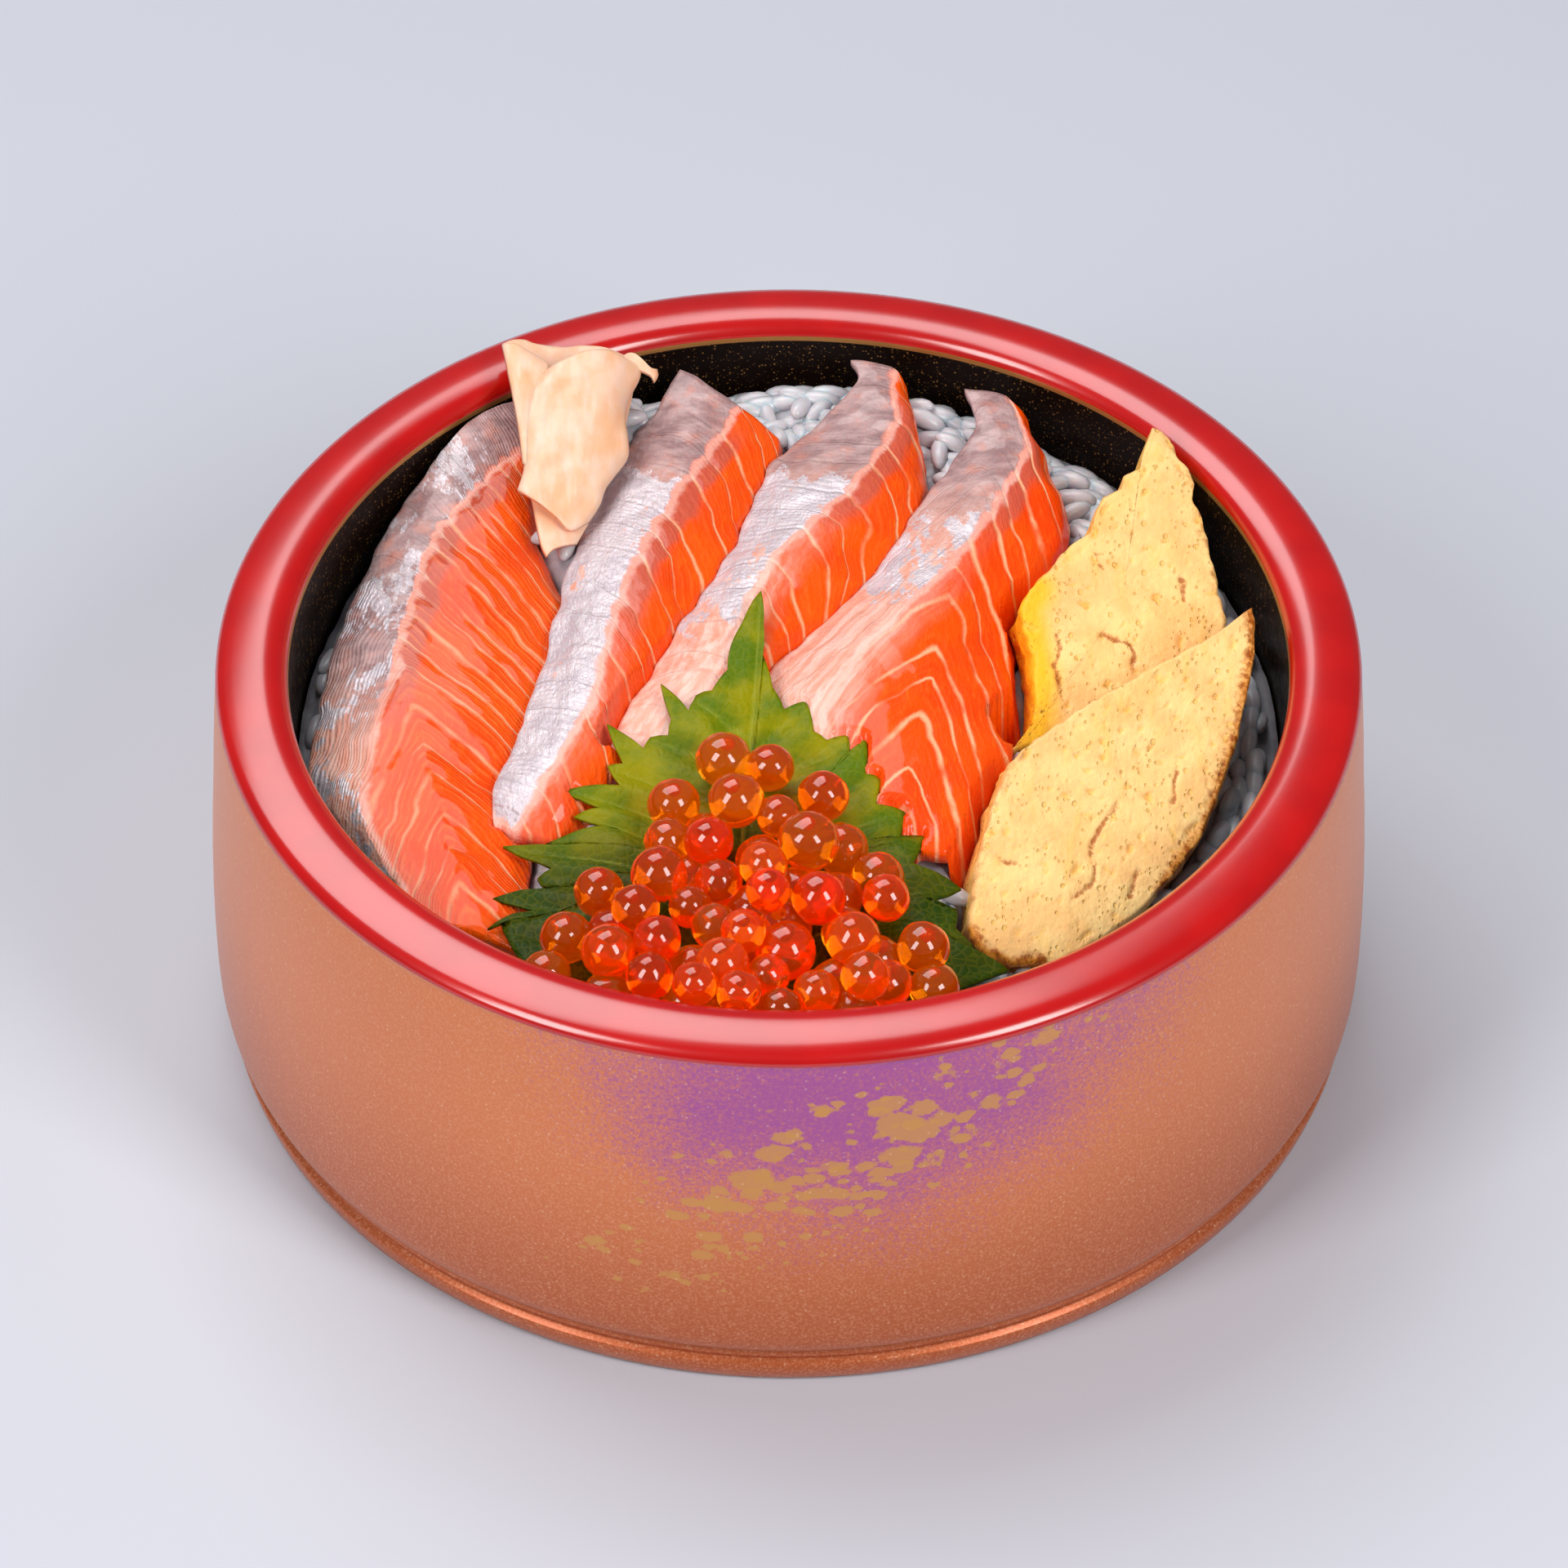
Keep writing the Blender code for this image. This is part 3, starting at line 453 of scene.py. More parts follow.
bowl = {
    "segments": 192,
    "underside": [(0.0, 1.8), (40.0, 1.8), (71.0, 1.8), (71.9, 1.4), (72.3, 0.5), (72.8, 0.0)],
    "foot": [(76.6, 0.0), (77.3, 0.25), (77.8, 0.9), (78.2, 2.2), (78.38, 3.4), (78.25, 3.85), (77.55, 4.1),
             (77.5, 4.5), (77.78, 4.75), (77.8, 5.5), (77.6, 5.7), (77.65, 6.3)],
    "body": [(78.6, 6.8), (79.0, 7.4), (79.4, 8.4), (79.62, 9.8), (79.74, 12.5), (79.78, 18.0),
             (79.7, 24.0), (79.5, 30.0), (79.2, 36.0), (78.8, 42.0), (78.5, 48.0), (78.1, 54.0),
             (77.75, 58.6), (77.6, 59.4)],
    "rim": [(77.72, 59.62), (77.62, 60.1), (77.2, 60.65), (76.3, 61.12), (75.1, 61.44), (73.8, 61.66),
            (72.5, 61.78), (71.3, 61.8), (70.2, 61.66), (69.3, 61.34), (68.6, 60.88), (68.15, 60.3),
            (67.95, 59.7)],
    "inside": [(67.85, 59.0), (67.5, 40.0), (67.2, 22.0), (66.5, 18.5), (65.2, 16.0), (63.4, 14.2),
               (61.0, 12.9), (58.0, 12.2), (54.0, 12.0), (25.0, 12.0), (0.0, 12.0)],
    "rimColour": colour(186, 0, 0), "rimSecond": colour(197, 3, 0),
    "copper": colour(226, 130, 80),
    # the darker copper towards the foot is painted shade
    "copperLowShade": colour(190, 94, 50), "copperLight": colour(240, 172, 132),
    "sparkle": colour(250, 214, 180),
    "haze": colour(172, 86, 160),
    "fleck": colour(214, 152, 82),
    "black": colour(16, 6, 3),
    "dust": colour(190, 140, 80),
    "hazeAt": (10.0, 62.0),       # sideways place and height of the haze's middle
    "hazeSize": (37.0, 29.0),
    "driftAt": (6.0, 41.0),       # middle of the drift of flecks
    "driftTurn": 32.0,
    "driftSize": (48.0, 14.0),
    "blots": [(4.4, 0.52, 0.05), (2.3, 0.52, 0.06)],   # size, share mid-drift, share at its edge
    "blotStretch": (0.72, 1.0, 1.15),
    "goldLipHighlight": (58.9, 59.1),     # heights between which the gold under the rim fades in, a painted highlight of the lip's rounded edge
}


def turned(name, profile, segments, parts):
    # a closed turned shape; parts gives each stretch of the profile its material
    verts = []
    rings = []
    for r, z in profile:
        if r < 1e-6:
            rings.append([len(verts)])
            verts.append((0, 0, z))
            continue
        rings.append(list(range(len(verts), len(verts) + segments)))
        verts += [(r * math.cos(2 * math.pi * k / segments), r * math.sin(2 * math.pi * k / segments), z)
                  for k in range(segments)]
    faces = []
    marks = []
    for step, (low, high) in enumerate(zip(rings[:-1], rings[1:])):
        for k in range(segments):
            n = (k + 1) % segments
            if len(low) == 1:
                faces.append((low[0], high[n], high[k]))
            elif len(high) == 1:
                faces.append((low[k], low[n], high[0]))
            else:
                faces.append((low[k], low[n], high[n], high[k]))
            marks.append(parts[step])
    piece = makePiece(name, verts, faces)
    piece.data.polygons.foreach_set("material_index", marks)
    return piece


def makeCopper():
    material, tree, shader = newMaterial("copperLacquer", Metallic=0.42, Coat_Weight=0.25,
                                         Coat_Roughness=0.2, Specular_IOR_Level=0.3)
    place = placeOf(tree)
    x, y, z = partsOf(tree, place)
    front = stepOf(tree, y, -20.0, -45.0)
    # darker towards the bottom: painted shade
    tone = stepOf(tree, z, 2.0, 44.0)
    base = blendOf(tree, tone, bowl["copperLowShade"], bowl["copper"])
    grain = noiseOf(tree, place, 0.4, 2.0, 0.7)
    base = blendOf(tree, stepOf(tree, grain, 0.42, 0.72, 0.0, 0.42), base, bowl["copperLight"])
    # haze: an uneven soft patch at the front, sprayed on so that its edge is grainy
    dx = over(tree, minus(tree, x, bowl["hazeAt"][0]), bowl["hazeSize"][0])
    dz = over(tree, minus(tree, z, bowl["hazeAt"][1]), bowl["hazeSize"][1])
    away = plus(tree, times(tree, dx, dx), times(tree, dz, dz))
    wander = bothWays(tree, noiseOf(tree, place, 18.0, 2.0), 1.5)
    spray = bothWays(tree, noiseOf(tree, place, 0.5, 2.0, 0.75), 3.2)
    edge = plus(tree, plus(tree, away, wander), spray)
    hazeShare = times(tree, stepOf(tree, edge, -0.3, 1.7, 0.95, 0.0), front)
    base = blendOf(tree, hazeShare, base, bowl["haze"])
    # flecks: blots of two sizes in a slanted drift
    turn = math.radians(bowl["driftTurn"])
    sx = minus(tree, x, bowl["driftAt"][0])
    sz = minus(tree, z, bowl["driftAt"][1])
    along = plus(tree, times(tree, sx, math.cos(turn)), times(tree, sz, math.sin(turn)))
    across = minus(tree, times(tree, sz, math.cos(turn)), times(tree, sx, math.sin(turn)))
    along = over(tree, along, bowl["driftSize"][0])
    across = over(tree, across, bowl["driftSize"][1])
    spread = plus(tree, times(tree, along, along), times(tree, across, across))
    ragged = bothWays(tree, noiseOf(tree, place, 1.5, 3.0, 0.6), 0.55)
    slanted = tree.nodes.new("ShaderNodeMapping")
    slanted.inputs["Rotation"].default_value = (0, turn, 0)
    slanted.inputs["Scale"].default_value = bowl["blotStretch"]
    tree.links.new(place, slanted.inputs["Vector"])
    for size, most, least in bowl["blots"]:
        cells = cellsOf(tree, slanted.outputs[0], size)
        chance = tree.nodes.new("ShaderNodeSeparateColor")
        tree.links.new(cells["Color"], chance.inputs[0])
        limit = times(tree, stepOf(tree, spread, 0.0, 1.1, most, least),
                      stepOf(tree, chance.outputs["Red"], 0.15, 0.75, 0.25, 1.15))
        blot = plus(tree, cells["Distance"], ragged)
        share = stepOf(tree, minus(tree, limit, blot), -0.03, 0.06)
        share = times(tree, share, front, stepOf(tree, spread, 0.8, 1.3, 0.85, 0.0))
        base = blendOf(tree, share, base, bowl["fleck"])
    dust = useGroup(tree, metalDust, Size=0.55, Share=0.08)
    base = blendOf(tree, times(tree, dust["Mask"], 0.3), base, bowl["sparkle"])
    tree.links.new(base, shader.inputs["Base Color"])
    tree.links.new(stepOf(tree, grain, 0.3, 0.8, 0.34, 0.44), shader.inputs["Roughness"])
    bumpOf(tree, shader, grain, 0.02, 0.5)
    return material


def makeRimRed():
    material, tree, shader = newMaterial("redLacquer", Coat_Weight=1.0, Coat_Roughness=0.2, Coat_IOR=1.75,
                                         Specular_IOR_Level=0.05)
    place = placeOf(tree)
    patch = stepOf(tree, noiseOf(tree, place, 9.0, 2.0), 0.3, 0.7)
    base = blendOf(tree, patch, bowl["rimColour"], bowl["rimSecond"])
    tree.links.new(base, shader.inputs["Base Color"])
    # a few dust nibs under the lacquer
    nib = stepOf(tree, cellsOf(tree, place, 5.0)["Distance"], 0.02, 0.07, 1.0, 0.0)
    height = plus(tree, times(tree, noiseOf(tree, place, 3.0, 2.0), 0.25), times(tree, nib, 0.6))
    gloss = stepOf(tree, noiseOf(tree, place, 1.2, 3.0), 0.3, 0.8, 0.3, 0.4)
    tree.links.new(gloss, shader.inputs["Roughness"])
    bumpOf(tree, shader, height, 0.03, 0.6)
    return material


def makeBlack():
    material, tree, shader = newMaterial("blackLacquer", Coat_Weight=0.08, Coat_Roughness=0.25,
                                         Specular_IOR_Level=0.08)
    place = placeOf(tree)
    dust = useGroup(tree, metalDust, Size=0.42, Share=0.16)
    fine = useGroup(tree, metalDust, Size=0.22, Share=0.12)
    mask = mathOf(tree, "MAXIMUM", times(tree, dust["Mask"], 0.5), times(tree, fine["Mask"], 0.35))
    # a thin gold line under the rim is a painted highlight of the lip's rounded edge
    mask = mathOf(tree, "MAXIMUM", mask, stepOf(tree, partsOf(tree, place)[2], *bowl["goldLipHighlight"]))
    base = blendOf(tree, mask, bowl["black"], bowl["dust"])
    tree.links.new(base, shader.inputs["Base Color"])
    tree.links.new(times(tree, mask, 0.8), shader.inputs["Metallic"])
    gloss = stepOf(tree, noiseOf(tree, place, 2.0), 0.3, 0.7, 0.4, 0.5)
    tree.links.new(gloss, shader.inputs["Roughness"])
    return material


def makeBowl():
    profile = []
    marks = []
    for part, mark in (("underside", 0), ("foot", 0), ("body", 0), ("rim", 1), ("inside", 2)):
        profile += bowl[part]
        marks += [mark] * len(bowl[part])
    piece = turned("bowlShell", profile, bowl["segments"], marks[1:])
    finishPiece(piece, [makeCopper(), makeRimRed(), makeBlack()], "bowl")


makeBowl()


# Leaf

leaf = {
    "middle": (-6.0, -32.0), "thickness": 0.45, "reach": 66.3,
    "frontReach": 33.5, "frontAngles": (196, 212, 228, 245, 262, 279, 296, 312),
    # its edge as the photo shows it, from the tip round the left side: column, row, 1 at a tooth's tip
    "edge": [(932, 725, 1), (909, 765, 0), (893, 802, 0), (891, 824, 0), (872, 850, 0), (852, 851, 1),
             (843, 874, 0), (809, 836, 1), (822, 884, 0), (818, 903, 0), (796, 903, 1), (788, 920, 0),
             (743, 886, 1), (763, 938, 0), (744, 938, 1), (760, 966, 0), (689, 969, 1), (736, 992, 0),
             (703, 1000, 1), (742, 1012, 0), (668, 1037, 0), (616, 1037, 1), (676, 1066, 0), (658, 1075, 1),
             (668, 1092, 0), (603, 1099, 1), (655, 1116, 0), (597, 1137, 1)],
    # and from the front round the right side back to the tip
    "edgeRight": [(1236, 1188, 1), (1195, 1168, 0), (1170, 1140, 0), (1172, 1113, 1), (1140, 1106, 0),
                  (1177, 1088, 1), (1118, 1062, 0), (1132, 1021, 1), (1098, 1036, 0), (1108, 995, 1),
                  (1072, 988, 0), (1078, 953, 1), (1060, 950, 0), (1060, 904, 1), (1040, 928, 0),
                  (1038, 900, 1), (1012, 908, 0), (996, 900, 0), (986, 859, 1), (960, 872, 0),
                  (946, 846, 0), (934, 806, 0), (935, 768, 0)],
    "rings": 26, "edgeStep": 1.1, "bulge": 0.035,
    "stem": (-8.0, -60.0),        # where the midrib starts
    "veinWidth": 0.55,
    # dark is the leaf's green in painted shade, used at its front
    "green": colour(86, 112, 0), "dark": colour(24, 52, 0), "vein": colour(150, 156, 40),
    "light": colour(156, 146, 0),
}


def leafHeight(x, y):
    t = (y + 62.0) / 74.0
    z = 49.6 + 2.4 * t + 8.6 * np.maximum(t, 0.0) ** 2
    return z - 0.0016 * (x + 6.0) ** 2 + 0.35 * np.sin(0.33 * x + 0.1 * y)


def leafCorners():
    def seen(part):
        return [(*seenOn(px, py, leafHeight).xy, isTip) for px, py, isTip in leaf[part]]

    front = []
    for angle in leaf["frontAngles"]:
        a = math.radians(angle)
        front.append((leaf["middle"][0] + leaf["frontReach"] * math.cos(a),
                      leaf["middle"][1] + leaf["frontReach"] * math.sin(a), 0))
    held = []
    for x, y, isTip in seen("edge") + front + seen("edgeRight"):
        k = min(1.0, leaf["reach"] / math.hypot(x, y))
        held.append((x * k, y * k, isTip))
    return held


def nearestLine(x, y, lines):
    # distance to the nearest of some straight lines in plan
    best = np.full(np.shape(x), 1e3)
    for (ax, ay), (bx, by) in lines:
        dx, dy = bx - ax, by - ay
        t = np.clip(((x - ax) * dx + (y - ay) * dy) / (dx * dx + dy * dy), 0, 1)
        best = np.minimum(best, np.hypot(x - ax - t * dx, y - ay - t * dy) + 0.35 * t * t)
    return best


def makeLeaf():
    corners = leafCorners()
    outline = []
    for k, (ax, ay, _) in enumerate(corners):
        bx, by, _ = corners[(k + 1) % len(corners)]
        length = math.hypot(bx - ax, by - ay)
        out = Vector((ay - by, bx - ax)).normalized()
        steps = max(2, round(length / leaf["edgeStep"]))
        for step in range(steps):
            t = step / steps
            swell = leaf["bulge"] * length * math.sin(math.pi * t)
            outline.append((ax + (bx - ax) * t - out.x * swell, ay + (by - ay) * t - out.y * swell))
    edge = np.array(outline)
    cx, cy = leaf["middle"]
    tips = [(x, y) for x, y, isTip in corners if isTip]
    stem = Vector(leaf["stem"])
    apex = max(tips, key=lambda p: p[1])
    midrib = (tuple(stem), apex)
    veins = []
    for x, y in tips:
        if (x, y) == apex:
            continue
        share = min(max((y - 9.0 - stem.y) / (apex[1] - stem.y), 0.02), 0.85)
        foot = stem.lerp(Vector(apex), share)
        veins.append(((foot.x, foot.y), (x, y)))
    shares = np.linspace(0, 1, leaf["rings"] + 1)[1:] ** 0.8
    flat = [(cx, cy)]
    for share in shares:
        flat += [(cx + (x - cx) * share, cy + (y - cy) * share) for x, y in edge]
    flat = np.array(flat)
    x, y = flat[:, 0], flat[:, 1]
    rib = nearestLine(x, y, [midrib])
    side = nearestLine(x, y, veins)
    z = leafHeight(x, y)
    quilt = np.clip(side / 2.3, 0, 1) * 0.75 + 0.4 * rough(np.column_stack((x, y, 0 * x)), 4.0, 3.1)
    groove = -0.35 * np.exp(-(rib / 0.8) ** 2) - 0.20 * np.exp(-(side / 0.6) ** 2)
    z = z + np.clip(quilt, -0.25, 0.95) * 0.9 + groove
    n = len(edge)
    faces = []
    for k in range(n):
        m = (k + 1) % n
        faces.append((0, 1 + k, 1 + m))
        for ring in range(leaf["rings"] - 1):
            a = 1 + ring * n
            faces.append((a + k, a + n + k, a + n + m, a + m))
    shift = len(flat)
    faces += [tuple(i + shift for i in reversed(f)) for f in list(faces)]
    last = 1 + (leaf["rings"] - 1) * n
    faces += [(last + k, last + k + shift, last + (k + 1) % n + shift, last + (k + 1) % n)
              for k in range(n)]
    upper = np.column_stack((x, y, z))
    lower = np.column_stack((x, y, z - leaf["thickness"]))
    piece = makePiece("shisoLeaf", np.vstack((upper, lower)), faces, attributes={
        "rib": bothFaces(rib), "sideVein": bothFaces(side), "ahead": bothFaces(y)})
    faceOutward(piece)
    return piece


def makeLeafGreen():
    material, tree, shader = newMaterial("leafGreen", Subsurface_Weight=0.08, Subsurface_Scale=0.001,
                                         Coat_Weight=0.03, Coat_Roughness=0.3, Specular_IOR_Level=0.12)
    skin = useGroup(tree, moistSurface, Colour=leaf["green"], Second=leaf["light"], Patch=7.0,
                    Grain=0.5, Amount=0.75)
    # the front of the leaf is darkened: painted shade
    shade = stepOf(tree, valueOf(tree, "ahead"), -36.0, -20.0, 0.85, 0.0)
    base = blendOf(tree, shade, skin["Colour"], leaf["dark"])
    net = cellsOf(tree, placeOf(tree), 1.3, "DISTANCE_TO_EDGE")["Distance"]
    base = blendOf(tree, stepOf(tree, net, 0.0, 0.14, 0.12, 0.0), base, leaf["light"])
    rib = stepOf(tree, valueOf(tree, "rib"), 0.15, leaf["veinWidth"], 0.6, 0.0)
    side = stepOf(tree, valueOf(tree, "sideVein"), 0.08, leaf["veinWidth"] * 0.8, 0.42, 0.0)
    base = blendOf(tree, mathOf(tree, "MAXIMUM", rib, side), base, leaf["vein"])
    tree.links.new(base, shader.inputs["Base Color"])
    tree.links.new(stepOf(tree, skin["Gloss"], 0.0, 1.0, 0.42, 0.56), shader.inputs["Roughness"])
    height = plus(tree, stepOf(tree, net, 0.0, 0.3), times(tree, skin["Height"], 0.5))
    bumpOf(tree, shader, height, 0.08, 0.7)
    return material


leafPiece = makeLeaf()
finishPiece(leafPiece, [makeLeafGreen()], "shiso_leaf")


# Roe

roe = {
    "middle": (-6.0, -45.0), "apex": 27.5, "side": 26.0, "front": 19.5, "rise": 4.8,
    "deep": 4.1,                  # egg centres above the leaf at the heap's edge
    # eggs that show: photo column, row and width in pixels
    "eggs": [(886, 930, 70), (943, 940, 60), (825, 985, 66), (901, 980, 70), (1008, 975, 64),
             (953, 1000, 54), (818, 1030, 60), (868, 1030, 62), (990, 1030, 76), (1032, 1040, 66),
             (935, 1060, 60), (1075, 1075, 66), (733, 1092, 62), (807, 1070, 70), (880, 1080, 60),
             (940, 1090, 56), (1003, 1100, 68), (1085, 1100, 60), (778, 1112, 60), (845, 1110, 54),
             (875, 1135, 60), (910, 1140, 56), (693, 1148, 66), (745, 1165, 68), (805, 1150, 60),
             (962, 1165, 76), (1045, 1150, 70), (1130, 1160, 66), (795, 1195, 60), (885, 1180, 66),
             (850, 1205, 56), (905, 1215, 56), (940, 1195, 54), (955, 1235, 54), (1000, 1215, 58),
             (1060, 1195, 62), (1088, 1205, 60)],
    "near": 0.90, "reach": 66.9,              # how far eggs press in to each other and to the wall
    "under": 26, "underRadius": 3.4, "underNear": 0.80, "underReach": 66.5, "seed": 11,
    "drop": 0.25, "dropLift": 0.62,           # the oil's size and its rise, as shares of the egg
    "bumpsPerMetre": 260.0, "uneven": 0.14, "oilUneven": 0.3,
    "skinLight": colour(255, 148, 14), "skinDeep": colour(255, 108, 4),
    # the glow colours are painted light, a faint orange emission of the eggs
    "paintedGlowLight": colour(255, 92, 0), "paintedGlowDeep": colour(252, 56, 0),
    "oilLight": colour(206, 26, 0), "oilDeep": colour(170, 8, 0),
}


def roeReach(angle):
    c, s = math.cos(angle), math.sin(angle)
    limits = []
    if s < -1e-6:
        limits.append(roe["front"] / -s)
    slope = math.atan2(roe["apex"] + 6.0, roe["side"])
    for sign in (1, -1):
        facing = c * sign * math.sin(slope) + s * math.cos(slope)
        if facing > 1e-6:
            limits.append(roe["apex"] * math.cos(slope) / facing)
    return sum((1.0 / v) ** 5 for v in limits) ** -0.2


def roeLevel(x, y):
    dx, dy = x - roe["middle"][0], y - roe["middle"][1]
    share = min(math.hypot(dx, dy) / roeReach(math.atan2(dy, dx)), 1.0)
    return float(leafHeight(x, y)) + leaf["thickness"] + roe["deep"] + roe["rise"] * (1 - share * share)


def placeEggs():
    # each egg is set on the heap where the photo shows it, then moved along the line of sight
    # to clear the others
    eye = cameraPlace()
    eggs = []
    for px, py, width in roe["eggs"]:
        sight = lineOfSight(px, py)
        z = 56.0
        for turn in range(12):
            p = eye + sight * ((z - eye.z) / sight.z)
            z = roeLevel(p.x, p.y)
        r = width / 2 * (eye - p).length / view["focal"]
        eggs.append([p, sight.normalized(), r])
    for turn in range(60):
        for i, (p, sight, r) in enumerate(eggs):
            for other in eggs[:i]:
                gap = p - other[0]
                room = (r + other[2]) * roe["near"]
                if gap.length < room:
                    push = (room - gap.length) * 0.35
                    nearer = 1 if gap.dot(sight) < 0 else -1
                    p = p - sight * push * nearer
                    other[0] = other[0] + sight * push * nearer
            low = float(leafHeight(p.x, p.y)) + leaf["thickness"] + r * 0.9
            if p.z < low:
                p = p - sight * ((low - p.z) / -sight.z)
            eggs[i][0] = p
    for egg in eggs:
        held = math.hypot(egg[0].x, egg[0].y)
        room = roe["reach"] - egg[2]
        if held > room:
            egg[0] = Vector((egg[0].x * room / held, egg[0].y * room / held, egg[0].z))
    return [(tuple(p), r) for p, _, r in eggs]


def fillUnder(shown):
    # a lower layer that is seen between and through the eggs that show
    rng = random.Random(roe["seed"])
    r = roe["underRadius"]
    found = []
    for turn in range(6000):
        if len(found) >= roe["under"]:
            break
        a = rng.uniform(0, 2 * math.pi)
        d = (roeReach(a) - 2.0) * math.sqrt(rng.random())
        x, y = roe["middle"][0] + d * math.cos(a), roe["middle"][1] + d * math.sin(a)
        if math.hypot(x, y) > roe["underReach"] - r:
            continue
        z = float(leafHeight(x, y)) + leaf["thickness"] + r * 0.95
        spot = Vector((x, y, z))
        if all((spot - Vector(p)).length > (r + q) * roe["underNear"] for p, q in shown + found):
            found.append((tuple(spot), r))
    return found


def newGrowth(name, inputs):
    # a Geometry Nodes tree with named inputs
    tree = bpy.data.node_groups.new(name, "GeometryNodeTree")
    face = tree.interface
    face.new_socket(name="Geometry", in_out="INPUT", socket_type="NodeSocketGeometry")
    for key, kind, value in inputs:
        face.new_socket(name=key, in_out="INPUT", socket_type="NodeSocket" + kind).default_value = value
    face.new_socket(name="Material", in_out="INPUT", socket_type="NodeSocketMaterial")
    face.new_socket(name="Geometry", in_out="OUTPUT", socket_type="NodeSocketGeometry")
    return tree, tree.nodes.new("NodeGroupInput").outputs


def realized(tree, instances):
    real = tree.nodes.new("GeometryNodeRealizeInstances")
    tree.links.new(instances, real.inputs[0])
    return real.outputs[0]


def endGrowth(tree, geometry, material):
    soft = tree.nodes.new("GeometryNodeSetShadeSmooth")
    tree.links.new(geometry, soft.inputs["Geometry"])
    paint = tree.nodes.new("GeometryNodeSetMaterial")
    tree.links.new(soft.outputs[0], paint.inputs["Geometry"])
    tree.links.new(material, paint.inputs["Material"])
    tree.links.new(paint.outputs[0], tree.nodes.new("NodeGroupOutput").inputs[0])


def namedValue(tree, name, kind="FLOAT"):
    node = tree.nodes.new("GeometryNodeInputNamedAttribute")
    node.data_type = kind
    node.inputs["Name"].default_value = name
    return node.outputs["Attribute"]


def scaled(tree, vector, amount):
    node = tree.nodes.new("ShaderNodeVectorMath")
    node.operation = "SCALE"
    tree.links.new(vector, node.inputs[0])
    tree.links.new(amount, node.inputs["Scale"])
    return node.outputs[0]


def movedBy(tree, geometry, offset):
    node = tree.nodes.new("GeometryNodeSetPosition")
    tree.links.new(geometry, node.inputs["Geometry"])
    tree.links.new(offset, node.inputs["Offset"])
    return node.outputs[0]


def eggTree():
    tree, given = newGrowth("eggsOnPoints", [
        ("Segments", "Int", 28), ("Rings", "Int", 18), ("Size", "Float", 1.0), ("Lift", "Float", 0.0),
        ("Uneven", "Float", 0.04)])
    new = tree.nodes.new
    join = tree.links.new
    radius = namedValue(tree, "eggRadius")
    lean = namedValue(tree, "lean", "FLOAT_VECTOR")
    ball = new("GeometryNodeMeshUVSphere")
    join(given["Segments"], ball.inputs["Segments"])
    join(given["Rings"], ball.inputs["Rings"])
    shifted = movedBy(tree, given["Geometry"], scaled(tree, lean, times(tree, radius, given["Lift"])))
    points = new("GeometryNodeMeshToPoints")
    join(shifted, points.inputs["Mesh"])
    put = new("GeometryNodeInstanceOnPoints")
    join(points.outputs[0], put.inputs["Points"])
    join(ball.outputs["Mesh"], put.inputs["Instance"])
    join(times(tree, radius, given["Size"]), put.inputs["Scale"])
    # a slightly uneven skin
    where = new("GeometryNodeInputPosition").outputs[0]
    normal = new("GeometryNodeInputNormal").outputs[0]
    bumps = noiseOf(tree, where, 1.0 / roe["bumpsPerMetre"], 1.0)
    reach = times(tree, minus(tree, bumps, 0.5), times(tree, given["Uneven"], radius))
    relief = movedBy(tree, realized(tree, put.outputs[0]), scaled(tree, normal, reach))
    endGrowth(tree, relief, given["Material"])
    return tree


def grow(name, base, tree, values):
    # run a node tree on a mesh and keep the result as a plain mesh
    step = base.modifiers.new("grow", "NODES")
    step.node_group = tree
    for item in tree.interface.items_tree:
        if item.item_type == "SOCKET" and item.in_out == "INPUT" and item.name in values:
            step[item.identifier] = values[item.name]
    graph = bpy.context.evaluated_depsgraph_get()
    graph.update()
    mesh = bpy.data.meshes.new_from_object(base.evaluated_get(graph))
    mesh.name = name
    base.modifiers.remove(step)
    piece = bpy.data.objects.new(name, mesh)
    bpy.context.scene.collection.objects.link(piece)
    return piece


def makeEggSkin():
    # the eggs give off a faint orange light of their own: painted light for light scattered inside them
    material, tree, shader = newMaterial("eggSkin", Roughness=0.03, IOR=1.36, Transmission_Weight=0.90,
                                         Subsurface_Weight=0.5, Subsurface_Scale=0.002,
                                         Coat_Weight=0.7, Coat_Roughness=0.01, Emission_Strength=0.10)
    tone = valueOf(tree, "tone")
    base = blendOf(tree, tone, roe["skinLight"], roe["skinDeep"])
    tree.links.new(base, shader.inputs["Base Color"])
    glow = blendOf(tree, tone, roe["paintedGlowLight"], roe["paintedGlowDeep"])
    tree.links.new(glow, shader.inputs["Emission Color"])
    return material


def makeEggOil():
    material, tree, shader = newMaterial("eggOil", Roughness=0.2, Coat_Weight=0.5)
    base = blendOf(tree, valueOf(tree, "tone"), roe["oilLight"], roe["oilDeep"])
    tree.links.new(base, shader.inputs["Base Color"])
    return material


